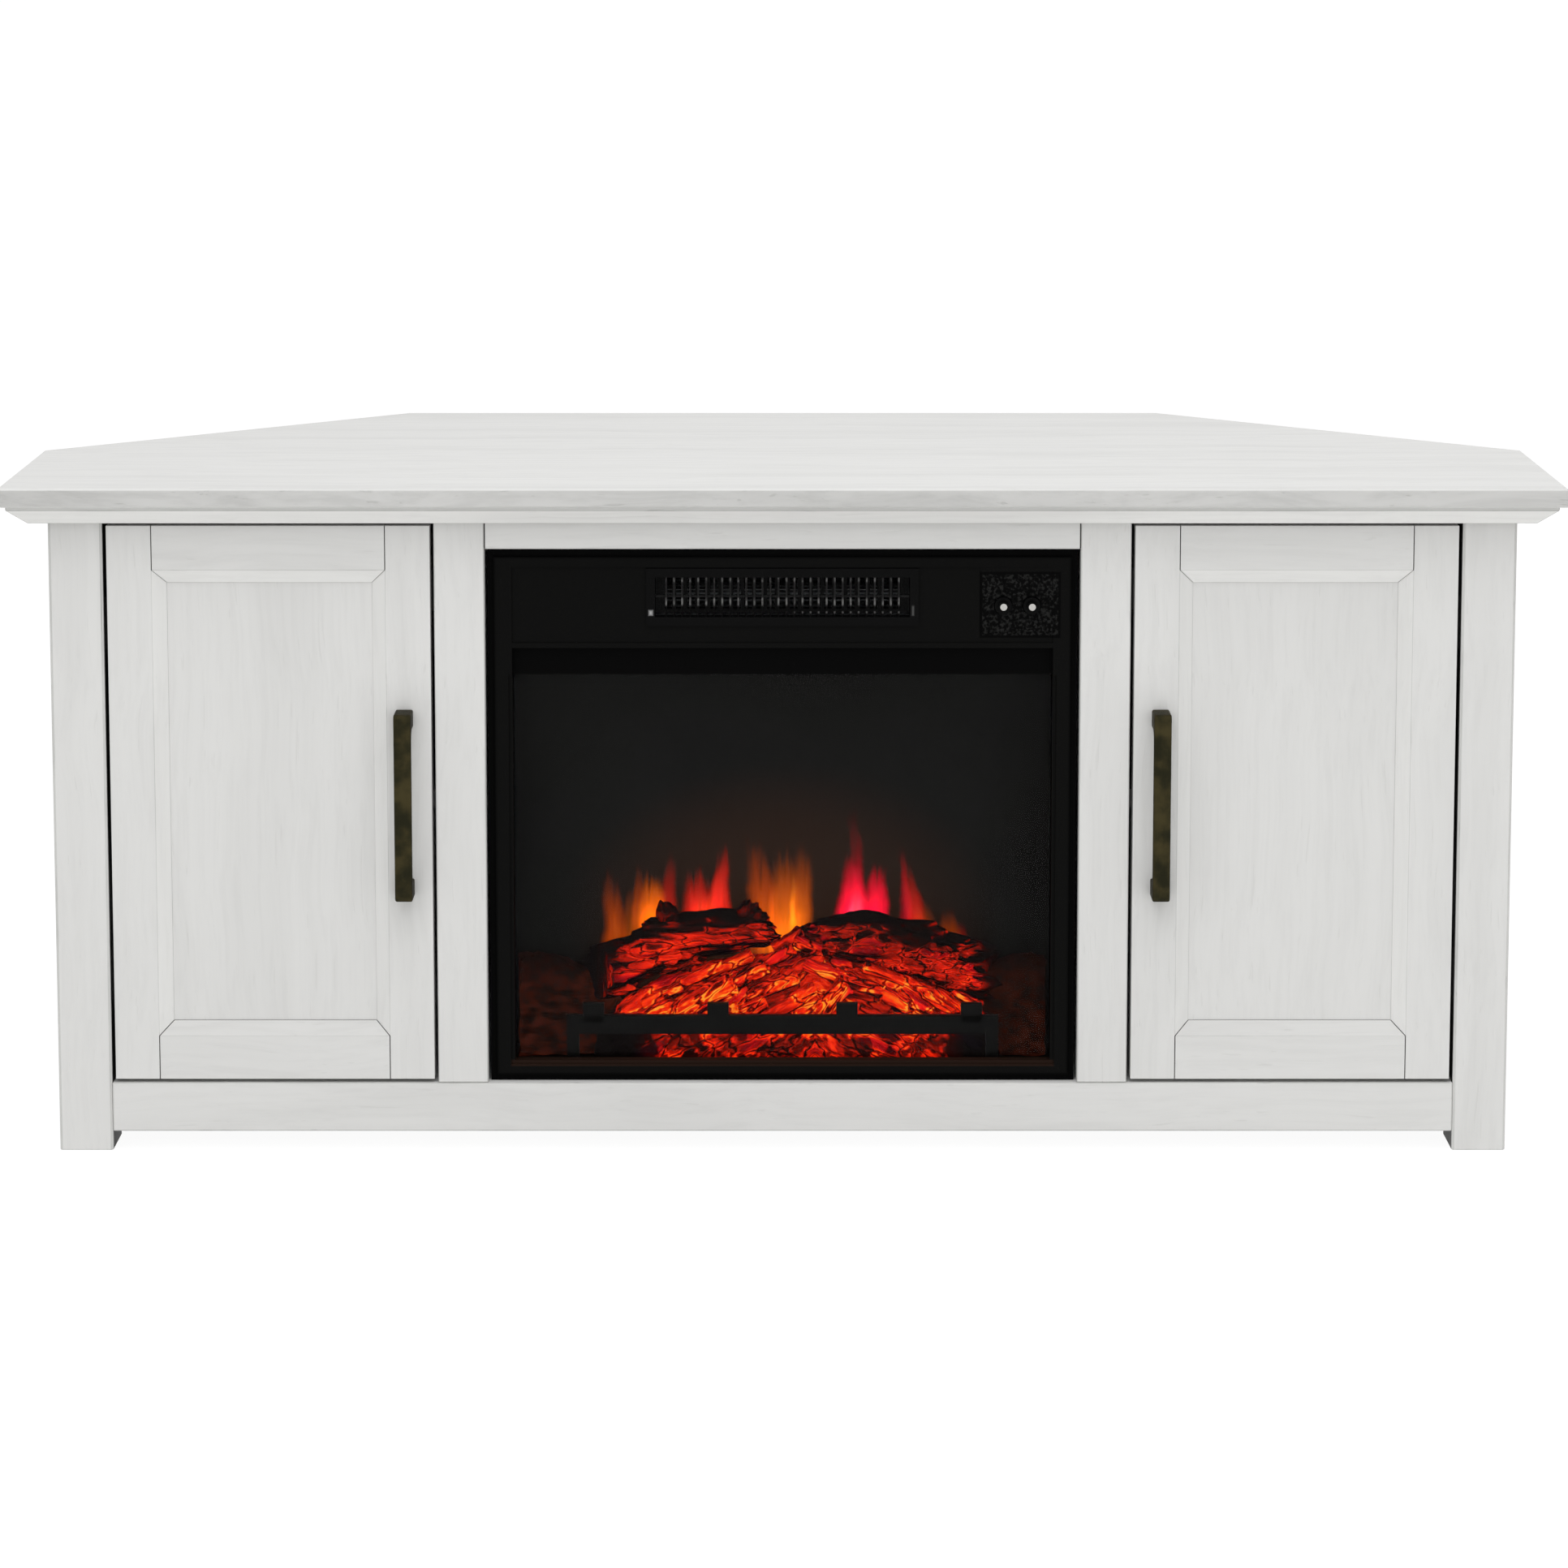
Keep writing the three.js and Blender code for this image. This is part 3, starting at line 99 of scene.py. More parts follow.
# %% Signals and sums
class Signal:
    """An output of a node. Another output of the same node is found by name or number."""

    def __init__(self, socket):
        self.socket, self.tree = socket, socket.id_data

    def __getitem__(self, name):
        return Signal(self.socket.node.outputs[name])

    def __add__(self, other):
        return calc("ADD", self, other)

    def __sub__(self, other):
        return calc("SUBTRACT", self, other)

    def __rsub__(self, other):
        return calc("SUBTRACT", other, self)

    def __mul__(self, other):
        return calc("MULTIPLY", self, other)

    def __truediv__(self, other):
        return calc("DIVIDE", self, other)

    def __abs__(self):
        return calc("ABSOLUTE", self)


def plug(made, inputs):
    """Sets a node's inputs: a signal is linked in, and anything else is set as it is."""
    for name, value in inputs.items():
        if isinstance(value, Signal):
            value.tree.links.new(value.socket, made.inputs[name])
        else:
            made.inputs[name].default_value = value


def node(kind, inputs=None, tree=None, **settings):
    """Adds a node, by default to the tree of its inputs, and gives its first output."""
    inputs = inputs or {}
    tree = tree or next(value.tree for value in inputs.values() if isinstance(value, Signal))
    made = tree.nodes.new("ShaderNode" + kind)
    for name, value in settings.items():
        setattr(made, name, value)
    plug(made, inputs)
    return Signal(made.outputs[0])


def calc(operation, *values, clamp=False):
    return node("Math", dict(enumerate(values)), operation=operation, use_clamp=clamp)


def vector(operation, *values):
    return node("VectorMath", dict(enumerate(values)), operation=operation)


print("sums ready")
# %% Patterns and colours
def stretched(where, factors):
    return vector("MULTIPLY", where, factors)


def noise(where, scale, detail=2.0, roughness=0.5):
    return node("TexNoise", {"Vector": where, "Scale": scale, "Detail": detail,
                             "Roughness": roughness})


def swayed(where, from_place, scale, detail, reach):
    """Moves a place by a soft noise, so that a straight pattern wanders."""
    sway = node("TexNoise", {"Vector": from_place, "Scale": scale, "Detail": detail})
    return vector("ADD", where, stretched(sway["Color"], (reach,) * 3))


def between(value, low, high, out_low=0.0, out_high=1.0, smooth=True):
    """Maps a value from one range to another and keeps it inside."""
    return node("MapRange", {0: value, 1: low, 2: high, 3: out_low, 4: out_high},
                interpolation_type="SMOOTHSTEP" if smooth else "LINEAR")


def mix(share, first, second):
    return node("Mix", {0: share, 6: first, 7: second}, data_type="RGBA")[2]


def grey(value):
    return (value, value, value, 1)


def object_place(tree):
    return node("TexCoord", tree=tree)["Object"]


def axes(where):
    return node("SeparateXYZ", {0: where})


def bump(height, strength, distance):
    return node("Bump", {"Height": height, "Strength": strength, "Distance": distance})


print("patterns ready")
# %% Groups and finishes
def new_group(name, inputs, outputs):
    """Starts a shader node group and gives its tree, its inputs by name and its output node."""
    tree = bpy.data.node_groups.new(name, "ShaderNodeTree")
    for title, kind, default in inputs:
        socket = tree.interface.new_socket(title, in_out="INPUT", socket_type="NodeSocket" + kind)
        if default is not None:
            socket.default_value = default
    for title, kind in outputs:
        tree.interface.new_socket(title, in_out="OUTPUT", socket_type="NodeSocket" + kind)
    entry = tree.nodes.new("NodeGroupInput")
    return tree, Signal(entry.outputs[0]), tree.nodes.new("NodeGroupOutput")


def use(group, inputs):
    return node("Group", inputs, node_tree=group)


def new_finish(name):
    """Starts a material and gives it with its Principled shader and its place on the object."""
    finish = bpy.data.materials.new(name)
    finish.use_nodes = True
    return finish, finish.node_tree.nodes["Principled BSDF"], object_place(finish.node_tree)


def reopen(finish):
    """A finish's shader, the base colour that it has so far, and its place on the object."""
    shader = finish.node_tree.nodes["Principled BSDF"]
    colour = Signal(shader.inputs["Base Color"].links[0].from_socket)
    return shader, colour, object_place(finish.node_tree)


print("groups and finishes ready")

# %% [markdown]
# ## Floor and light
# The photograph has no room: the background is white and the light is soft and even, a little
# stronger on the top than on the front. The floor is lit like any pale floor, but most of what
# the camera and mirrors see of it is plain white, so only a faint shadow is left under the feet.

# %% Floor
FLOOR_WHITE_SHARE, FLOOR_GLOW = 0.86, 1.1


def seen_directly(tree):
    """1 for what the camera, a mirror or the glass shows, 0 for light that falls on things."""
    path = node("LightPath", tree=tree)
    return calc("MAXIMUM", path["Is Camera Ray"],
                calc("MAXIMUM", path["Is Glossy Ray"], path["Is Transmission Ray"]))


bpy.ops.mesh.primitive_plane_add(size=40)
floor = bpy.context.object
floor.name = "floor"
floor_finish, shader, place = new_finish("pale_floor")
plug(shader, {
    "Base Color": mix(noise(place, 40, 3), (0.80, 0.80, 0.79, 1), (0.84, 0.84, 0.83, 1)),
    "Roughness": 0.9, "Specular IOR Level": 0.1})
white = node("Emission", {"Color": grey(1), "Strength": FLOOR_GLOW}, tree=place.tree)
blend = node("MixShader", {0: seen_directly(place.tree) * FLOOR_WHITE_SHARE,
                           1: Signal(shader.outputs[0]), 2: white})
plug(place.tree.nodes["Material Output"], {0: blend})
floor.data.materials.append(floor_finish)
print("floor", floor.dimensions[:])

# %% [markdown]
# The world lights from all around, and is a little brighter where it is seen than where it only
# lights. Four large rectangles add the direction that the photograph has: mostly from above and
# in front. Neither they nor the floor's white show as spots in anything glossy.

# %% World and lamps
SKY_LIGHT, SKY_SEEN = 0.58, 1.02
world = bpy.data.worlds.new("studio")
bpy.context.scene.world = world
world.use_nodes = True
plug(world.node_tree.nodes["Background"], {
    "Color": grey(1),
    "Strength": between(seen_directly(world.node_tree), 0, 1, SKY_LIGHT, SKY_SEEN, smooth=False)})


def softbox(name, place, target, size, power):
    lamp = bpy.data.objects.new(name, bpy.data.lights.new(name, "AREA"))
    bpy.context.scene.collection.objects.link(lamp)
    lamp.location = place
    lamp.rotation_euler = (Vector(target) - Vector(place)).to_track_quat("-Z", "Y").to_euler()
    lamp.data.shape = "RECTANGLE"
    lamp.data.size, lamp.data.size_y = size
    lamp.data.energy = power
    lamp.visible_camera = False
    lamp.visible_glossy = False


softbox("key", (-0.8, -3.4, 2.6), (0, 0, 0.3), (3.2, 2.0), 26)
softbox("overhead", (0.3, -1.3, 3.0), (0, -0.1, 0.5), (3.0, 1.8), 41)
softbox("fill", (0.6, -4.4, 0.5), (0, 0, 0.25), (4.0, 0.9), 20)
softbox("back", (0.8, 3.6, 1.8), (0, 0, 0.25), (3.6, 1.6), 34)
bpy.context.scene.view_settings.view_transform = "Standard"

# %% [markdown]
# ## Whitewashed wood
# The wood is oak-like board under a thin white wash: the wash is even, and the grain shows
# through as long, faint, slightly grey streaks with a few short pores. The grain runs up the
# legs, stiles and panels and across the rails and the top, so the pattern is one noise stretched
# along the grain. It is a node group, because uprights, crosswise boards and rubbed edges use it.

# %% Wood grain group
grain, given, out = new_group(
    "washed_grain",
    [("Vector", "Vector", None), ("Stretch", "Vector", (260, 260, 9)),
     ("Wash", "Color", (0.69, 0.69, 0.675, 1)), ("Streak", "Color", (0.60, 0.60, 0.585, 1)),
     ("Depth", "Float", 1.0)],
    [("Color", "Color"), ("Roughness", "Float"), ("Height", "Float")])
along = vector("MULTIPLY", given["Vector"], given["Stretch"])
bent = swayed(along, given["Vector"], 7.0, 1.0, 4.5)
streaks = noise(bent, 1.0, 5.0, 0.62)
broad = noise(stretched(bent, (0.16, 0.16, 0.16)), 1.0)
pits = between(noise(stretched(bent, (2.1, 2.1, 1.7)), 1.0), 0.66, 0.74)
share = (between(streaks, 0.40, 0.72) * 0.24 + between(broad, 0.42, 0.70) * 0.24
         + pits * 0.28)
share = calc("MULTIPLY", share, given["Depth"], clamp=True)
plug(out, {"Color": mix(share, given["Wash"], given["Streak"]),
           "Roughness": between(share, 0, 1, 0.50, 0.66, smooth=False),
           "Height": streaks * 0.6 - pits})
print("grain group inputs and outputs:", len(grain.interface.items_tree))

# %% [markdown]
# One recipe then makes every wood finish: the direction of the grain, the colour of the wash and
# of the streaks, and how deep the streaks and the relief are. The wash is thinner where hands and
# cloths rub. Joints hold dust and painted shade, and some faces have painted light or shade: a
# lighter slope under the top, a darker rim on the top, lighter or darker chamfers, and near-black
# inner faces on the front legs.

# %% Wood finishes
def wood_finish(name, stretch, wash, streak, depth, height):
    finish, shader, place = new_finish(name)
    look = use(grain, {"Vector": place, "Stretch": stretch, "Wash": (*wash, 1),
                       "Streak": (*streak, 1), "Depth": depth})
    plug(shader, {"Base Color": look["Color"], "Roughness": look["Roughness"],
                  "Specular IOR Level": 0.12,
                  "Normal": bump(look["Height"], 0.22 * height, 0.0004)})
    return finish


UPRIGHT, CROSSWISE, ROUND_THE_RIM = (190, 190, 11), (11, 190, 190), (26, 120, 150)
WASHED = (0.685, 0.683, 0.672), (0.575, 0.573, 0.562)
RUBBED = (0.60, 0.60, 0.585), (0.38, 0.38, 0.37)
WOOD_RECIPES = {
    # name: direction of the grain, wash, streak, depth of the streaks, height of the relief
    "washed_wood_upright": (UPRIGHT, *WASHED, 1.0, 1.0),
    "washed_wood_across": (CROSSWISE, *WASHED, 1.1, 1.0),
    "rubbed_edge_upright": (UPRIGHT, *RUBBED, 1.5, 2.0),
    "rubbed_edge_across": (CROSSWISE, *RUBBED, 1.5, 2.0),
    # dust and painted shade in the joints
    "joint_dust_and_shade": (UPRIGHT, (0.07, 0.07, 0.068), (0.035, 0.035, 0.034), 1.0, 2.0),
    # painted shade on the rim of the top
    "painted_shade_rim": (ROUND_THE_RIM, (0.565, 0.563, 0.552), (0.37, 0.37, 0.36), 1.35, 1.5),
    # painted light on the slope under the top
    "painted_light_slope": (CROSSWISE, (0.89, 0.888, 0.873), (0.74, 0.738, 0.725), 1.1, 1.0),
    # painted light and shade on the panel chamfers, by the way they face
    "painted_lighting_chamfer_across": (CROSSWISE, (0.84, 0.838, 0.825), (0.71, 0.708, 0.695), 1.1, 1.0),
    "painted_lighting_chamfer_sill": (CROSSWISE, (0.635, 0.633, 0.622), (0.52, 0.518, 0.507), 1.1, 1.0),
    "painted_lighting_chamfer_upright": (UPRIGHT, (0.74, 0.738, 0.725), (0.62, 0.618, 0.605), 1.0, 1.0),
    # painted shade on the inner faces of the front legs
    "painted_shade_board": (UPRIGHT, (0.022, 0.021, 0.019), (0.012, 0.011, 0.010), 1.0, 2.0)}
wood = {name: wood_finish(name, *recipe) for name, recipe in WOOD_RECIPES.items()}
print("wood finishes:", len(wood))

# %% [markdown]
# ## Eased edges on the wooden frame
# Every board on the real cabinet has its sharp corner sanded off before it is painted. Two eased
# corners side by side make the thin grey line that marks each joint. So each visible board is
# copied from its CAD mesh, its loose triangles are merged and joined into whole faces, and a
# Bevel modifier rounds its edges. The bevel's own faces take the rubbed finish.

# %% Mesh helpers
FLAT = math.radians(0.5)
MERGE = 0.01 * MM
SHARP, TOP_SHARP = 35, 60


def deselect_all():
    bpy.ops.object.select_all(action="DESELECT")


def pick(piece):
    """Selects one piece alone and makes it the active one."""
    deselect_all()
    piece.select_set(True)
    bpy.context.view_layer.objects.active = piece


def select_mesh(action="SELECT"):
    bpy.ops.mesh.select_all(action=action)


def open_mesh(piece):
    """Opens one piece in edit mode with all of it selected."""
    pick(piece)
    bpy.ops.object.mode_set(mode="EDIT")
    select_mesh()


def close_mesh():
    bpy.ops.object.mode_set(mode="OBJECT")


def apply_modifier(piece, kind, **settings):
    step = piece.modifiers.new("step", kind)
    for name, value in settings.items():
        setattr(step, name, value)
    pick(piece)
    bpy.ops.object.modifier_apply(modifier=step.name)


def apply_place():
    bpy.ops.object.transform_apply(location=True, rotation=True, scale=True)


def start(primitive, name, scale=(1, 1, 1), place=(0, 0, 0), **settings):
    """Adds a primitive, with nothing else selected, and applies its size and place."""
    deselect_all()
    primitive(**settings)
    piece = bpy.context.object
    piece.name, piece.scale, piece.location = name, scale, place
    apply_place()
    return piece


def merged_copy(name):
    """A copy of a CAD node's mesh as a new object, merged and with its flat faces whole."""
    copy = bpy.data.objects.new(name + "_dressed", nodes[name].data.copy())
    bpy.context.scene.collection.objects.link(copy)
    copy.data.materials.clear()
    open_mesh(copy)
    bpy.ops.mesh.remove_doubles(threshold=MERGE)
    bpy.ops.mesh.dissolve_limited(angle_limit=FLAT)
    close_mesh()
    return copy


def bevelled(copy, width, segments, angle=SHARP, edge_slot=-1):
    apply_modifier(copy, "BEVEL", width=width, segments=segments, limit_method="ANGLE",
                   angle_limit=math.radians(angle), material=edge_slot)


def settle(copy, node_name):
    """The copy stands for its node: the node is hidden and the copy rides where the node rides."""
    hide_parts(node_name)
    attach(copy, nodes[node_name]["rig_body"])


print("mesh helpers ready")

# %% [markdown]
# Two boards need more. The top's upper edge is rounded more than the others: its fine CAD chamfer
# is squared off, then that one loop of edges is bevelled, so the outline stays the same. And the
# inner face of each front leg takes painted shade, near black, for the dark foot and door gap.

# %% Boards with eased edges
FINE_CHAMFER = 1.2 * MM
EASE, FRAME_EASE, ROUND_OVER = 0.7 * MM, 1.0 * MM, 2.4 * MM
FACE, EDGE, EXTRA = 0, 1, 2


def round_over(board, width):
    """Squares off a board's fine upper chamfer, then rounds that edge more than the others."""
    rim = max(point.co.z for point in board.data.vertices)
    for point in board.data.vertices:
        if rim - point.co.z < FINE_CHAMFER:
            point.co.z = rim
    open_mesh(board)
    bpy.ops.mesh.dissolve_limited(angle_limit=FLAT)
    select_mesh("DESELECT")
    close_mesh()
    for point in board.data.vertices:
        point.select = rim - point.co.z < MERGE
    for edge in board.data.edges:
        edge.select = all(board.data.vertices[i].select for i in edge.vertices)
    bpy.ops.object.mode_set(mode="EDIT")
    bpy.ops.mesh.bevel(offset=width, segments=4)
    close_mesh()


def paint_inner_shade(leg, inward):
    """Paints a front leg's inner face near black, as painted shade at the foot and the door gap."""
    leg.data.materials.append(wood["painted_shade_board"])
    for polygon in leg.data.polygons:
        if polygon.normal.x * inward > 0.9:
            polygon.material_index = EXTRA


upright_boards = [side + part for side in SIDES for part in (
    "front_leg", "side_rear_leg", "back_leg", "inner_stile", "door_hinge_stile",
    "door_handle_stile", "door_panel")]
crosswise_boards = ["top_board", "under_board", "top_rail", "bottom_rail"] + [
    side + part for side in SIDES for part in ("door_top_rail", "door_bottom_rail")]
for names, way in ((upright_boards, "upright"), (crosswise_boards, "across")):
    for name in names:
        board = merged_copy(name)
        board.data.materials.append(wood["washed_wood_" + way])
        board.data.materials.append(wood["rubbed_edge_" + way])
        for polygon in board.data.polygons:
            polygon.material_index = FACE
        if name == "top_board":
            round_over(board, ROUND_OVER)
        if name.endswith("front_leg"):
            paint_inner_shade(board, -1 if name.startswith("right_") else 1)
        bevelled(board, FRAME_EASE if name.endswith(("rail", "stile")) else EASE, 2,
                 angle=TOP_SHARP if name == "top_board" else SHARP, edge_slot=EDGE)
        settle(board, name)
print("eased boards:", len(upright_boards) + len(crosswise_boards))

# %% [markdown]
# Where a rail butts against a stile, the joint shows as a short dark line, painted as dust and
# as the shade in the crevice, and so do the mitre and the sill at the foot of each panel. The eased
# faces that lie along a joint take the joint finish: they are picked by their place, in front and
# close to it.

# %% Joint lines
MITRE = 11 * MM
NEAR_JOINT = 2 * FRAME_EASE


def mark_joint(rail, boards, mitred=False):
    """Darkens the eased front corners of the boards along both ends of a rail, as dust and painted
    shade.
    """
    low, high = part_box(rail)
    count = 0
    for name in (*boards, rail):
        board = bpy.data.objects[name + "_dressed"]
        if "joint_dust_and_shade" not in board.data.materials:
            board.data.materials.append(wood["joint_dust_and_shade"])
        for polygon in board.data.polygons:
            middle = polygon.center
            inside = min(middle.x - low.x, high.x - middle.x)
            front = middle.y < low.y + NEAR_JOINT
            butt = abs(inside) < NEAR_JOINT and low.z < middle.z < high.z and front
            climb = middle.z - (high.z - MITRE)
            mitre = mitred and 0 < climb < MITRE and abs(inside - climb) < NEAR_JOINT
            sill = (mitred and name == rail and inside > MITRE
                    and abs(high.z - middle.z) < NEAR_JOINT)
            if (polygon.material_index == EDGE and (butt or mitre or sill)
                    and middle.y < low.y + MITRE):
                polygon.material_index = EXTRA
                count += 1
    return count


marked = mark_joint("top_rail", ("right_inner_stile", "left_inner_stile"))
for side in SIDES:
    stiles = (side + "door_hinge_stile", side + "door_handle_stile")
    marked += mark_joint(side + "door_top_rail", stiles)
    marked += mark_joint(side + "door_bottom_rail", stiles, mitred=True)
print("joint faces:", marked)

# %% [markdown]
# The rim of the top, the slope of the board under it and the chamfers around the panels catch
# the light in their own way, so each has its light or shade painted into a finish of its own: the
# rim darker, the slope lighter, and the chamfers lighter or darker. They are told apart by the way
# that their faces point. Where the top and the slope meet, the eased edge is washed over.

# %% Rim, slope and chamfers
def refinish(name, finish, chosen):
    """Adds a finish to a board and gives it to the faces whose normal is chosen."""
    mesh = bpy.data.objects[name + "_dressed"].data
    mesh.materials.append(wood[finish])
    for polygon in mesh.polygons:
        if polygon.material_index == FACE and chosen(polygon.normal):
            polygon.material_index = len(mesh.materials) - 1


refinish("top_board", "painted_shade_rim", lambda normal: abs(normal.z) < 0.3)
refinish("under_board", "painted_light_slope", lambda normal: -0.9 < normal.z < -0.3)
for name, facing in (("top_board_dressed", -1), ("under_board_dressed", 1)):
    for polygon in bpy.data.objects[name].data.polygons:
        if polygon.material_index == EDGE and polygon.normal.z * facing > 0.1:
            polygon.material_index = FACE
for side in SIDES:
    for part, finish in (("top_rail", "across"), ("bottom_rail", "sill"),
                         ("hinge_stile", "upright"), ("handle_stile", "upright")):
        refinish(side + "door_" + part, "painted_lighting_chamfer_" + finish,
                 lambda normal: -0.95 < normal.y < -0.3)

# %% [markdown]
# The side panels, walls, shelves, bottom and back show little of their edges, so they keep their
# CAD mesh and only take the wood finish that runs their way.

# %% Plain boards
def dress(name, finish):
    for slot in nodes[name].material_slots:
        slot.material = finish


for side in SIDES:
    for part in ("side_panel", "wall_panel", "partition"):
        dress(side + part, wood["washed_wood_upright"])
    dress(side + "shelf", wood["washed_wood_across"])
dress("bottom_panel", wood["washed_wood_across"])
dress("back_panel", wood["washed_wood_upright"])
print("plain boards:", 4 * len(SIDES) + 2)

# %% [markdown]
# ## Dark bronze handles
# The pulls are cast bars with an oil-rubbed finish: nearly black, slightly olive, and a little
# browner where the oil has worn off. The CAD outline is right, so the copy only needs softly
# rounded corners and a metal that varies in colour and roughness. Oil dulls the shine that bare
# metal has at a flat angle, so the specular tint is dark.

# %% Bronze handles
bronze, shader, place = new_finish("oil_rubbed_bronze")
worn = between(noise(place, 60, 4), 0.35, 0.7)
brushed = noise(stretched(place, (900, 900, 60)), 1, 3)
plug(shader, {"Base Color": mix(worn, (0.020, 0.019, 0.010, 1), (0.054, 0.044, 0.019, 1)),
              "Roughness": between(brushed, 0.2, 0.8, 0.42, 0.6),
              "Normal": bump(brushed, 0.15, 0.0002),
              "Metallic": 0.6, "Specular Tint": (0.12, 0.12, 0.10, 1)})
for side in SIDES:
    handle = merged_copy(side + "door_handle")
    handle.data.materials.append(bronze)
    bevelled(handle, 1.4 * MM, 3)
    bpy.ops.object.shade_smooth_by_angle(angle=math.radians(35))
    settle(handle, side + "door_handle")

# %% [markdown]
# ## Steel fittings
# Hinge cups and arms are nickel-plated pressings, the light board's rotor is mirror foil, and the
# blower and its motor are bare zinc-plated sheet with its cloudy spangle. They are hidden while
# the doors are shut, but each has the finish that its process leaves.

# %% Plated and zinc finishes
def metal_finish(name, light, dark, rough, cell, bump_strength):
    finish, shader, place = new_finish(name)
    spangle = node("TexVoronoi", {"Vector": place, "Scale": cell})["Color"]
    patch = node("SeparateColor", {0: spangle})
    smear = noise(place, cell * 3, 3)
    plug(shader, {"Base Color": mix(patch, (*dark, 1), (*light, 1)), "Metallic": 1.0,
                  "Roughness": between(smear, 0.2, 0.8, rough - 0.07, rough + 0.1),
                  "Normal": bump(smear, bump_strength, 0.0002)})
    return finish


nickel = metal_finish("nickel_plate", (0.62, 0.61, 0.59), (0.56, 0.55, 0.53), 0.28, 300, 0.05)
zinc = metal_finish("zinc_sheet", (0.50, 0.51, 0.52), (0.38, 0.39, 0.40), 0.42, 180, 0.05)
foil = metal_finish("mirror_foil", (0.80, 0.80, 0.78), (0.74, 0.74, 0.72), 0.12, 150, 0.12)
for side in SIDES:
    for part in ("lower_hinge_arm", "lower_hinge_cup", "upper_hinge_arm", "upper_hinge_cup"):
        dress(side + part, nickel)
for name in ("blower_rotor", "blower_housing", "spindle_motor"):
    dress(name, zinc)
dress("flame_spindle", foil)
print("metals:", nickel.name, zinc.name, foil.name)

# %% [markdown]
# ## Black insert
# The insert's sheet metal has a satin powder coat, whose fine orange peel scatters what little
# light it returns. The catches and the cord gland are plain black plastic, and the heater is a
# dark ceramic. One recipe with a speckle group makes them all.

# %% Black finishes
speckles, given, out = new_group(
    "fine_speckle", [("Vector", "Vector", None), ("Scale", "Float", 1500.0)],
    [("Value", "Float"), ("Height", "Float")])
dots = noise(given["Vector"], given["Scale"], 2.0, 0.6)
plug(out, {"Value": between(dots, 0.35, 0.68), "Height": dots})


def black_finish(name, dark, light, rough, scale, level=0.12):
    finish, shader, place = new_finish(name)
    grains = use(speckles, {"Vector": place, "Scale": scale})
    plug(shader, {"Base Color": mix(grains["Value"], grey(dark), light),
                  "Roughness": between(grains["Value"], 0, 1, rough, rough + 0.1),
                  "Normal": bump(grains["Height"], 0.25, 0.0002), "Specular IOR Level": level})
    return finish


powder_coat = black_finish("black_powder_coat", 0.0024, (0.0042, 0.0042, 0.0038, 1), 0.5, 1400, 0.04)
catch_plastic = black_finish("catch_plastic", 0.02, grey(0.03), 0.5, 2200, 0.3)
dress("firebox_housing", powder_coat)
dress("grate", powder_coat)
dress("cord_gland", catch_plastic)
for side in SIDES:
    dress(side + "magnetic_catch", catch_plastic)
dress("heater_element", black_finish("heater_ceramic", 0.012, grey(0.03), 0.6, 900))
print("black finishes:", powder_coat.name, catch_plastic.name)

# %% [markdown]
# The front frame is one pressing, but it is not one black. Its folded rim and the sunk band over
# the window are painted darker as painted shade, the control pad is a moulded label with a coarse
# grain, and the sill under the window has painted warm light from the fire. A small group turns a
# place into a soft-edged box mask, and the finishes of the frame and the outlet use it for each
# such area.

# %% Box mask group and front frame
box_mask, given, out = new_group(
    "box_mask", [("Vector", "Vector", None), ("Low", "Vector", (0, 0, 0)),
                 ("High", "Vector", (1, 1, 1)), ("Soft", "Float", 0.001)], [("Value", "Float")])
above = vector("SUBTRACT", given["Vector"], given["Low"])
below = vector("SUBTRACT", given["High"], given["Vector"])
x, _, z = axes(vector("MINIMUM", above, below))
plug(out, {"Value": calc("DIVIDE", calc("MINIMUM", x, z), given["Soft"], clamp=True)})


def inside_box(place, low, high, soft=1 * MM):
    """1 inside a box seen from the front, from (x, z) to (x, z), and 0 outside it."""
    return use(box_mask, {"Vector": place, "Low": (low[0], 0, low[1]),
                          "High": (high[0], 0, high[1]), "Soft": soft})


frame_coat = black_finish("front_frame_coat", 0.0024, (0.0044, 0.0044, 0.0040, 1), 0.5, 1400, 0.04)
shader, coat, place = reopen(frame_coat)
low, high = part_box("front_frame")
RIM, PAD_LINE = 5 * MM, 2 * MM
BAND = ((-0.213, 0.3810), (0.213, 0.4035))
SILL = ((-0.216, 0.0665), (0.216, 0.0722))
PAD = ((0.1545, 0.4110), (0.2185, 0.4640))
PAD_FACE = (tuple(c + PAD_LINE for c in PAD[0]), tuple(c - PAD_LINE for c in PAD[1]))
grit = between(noise(place, 380, 3, 0.6), 0.46, 0.64)
label = mix(grit, grey(0.0006), (0.0150, 0.0150, 0.0146, 1))
# the pad's outline and label are print, the band is painted shade and the sill is painted fire light
for area, soft, colour in ((PAD, 0.5 * MM, grey(0.0004)), (PAD_FACE, 0.5 * MM, label),
                           (BAND, 1 * MM, grey(0.0006)),
                           (SILL, 1 * MM, (0.0165, 0.0085, 0.0058, 1))):
    coat = mix(inside_box(place, *area, soft), coat, colour)
# painted shade on the folded rim outside the face
face = inside_box(place, (low.x + RIM, low.z + RIM), (high.x - RIM, high.z - RIM), 2 * MM)
plug(shader, {"Base Color": mix(face, grey(0.0003), coat)})
dress("front_frame", frame_coat)
print("front frame:", frame_coat.name)

# %% [markdown]
# The outlet is a plastic grille. Its fins are black, darker below their feet, and their upper
# ends, their lower ends and the lip under them have a painted grey highlight; there are painted
# glints at the lower corners.

# %% Warm-air outlet
FINS = ((-0.100, 0.4278), (0.100, 0.4593))
FIN_TOP, FIN_FOOT, LIP = 0.4565, 0.4397, 0.4312
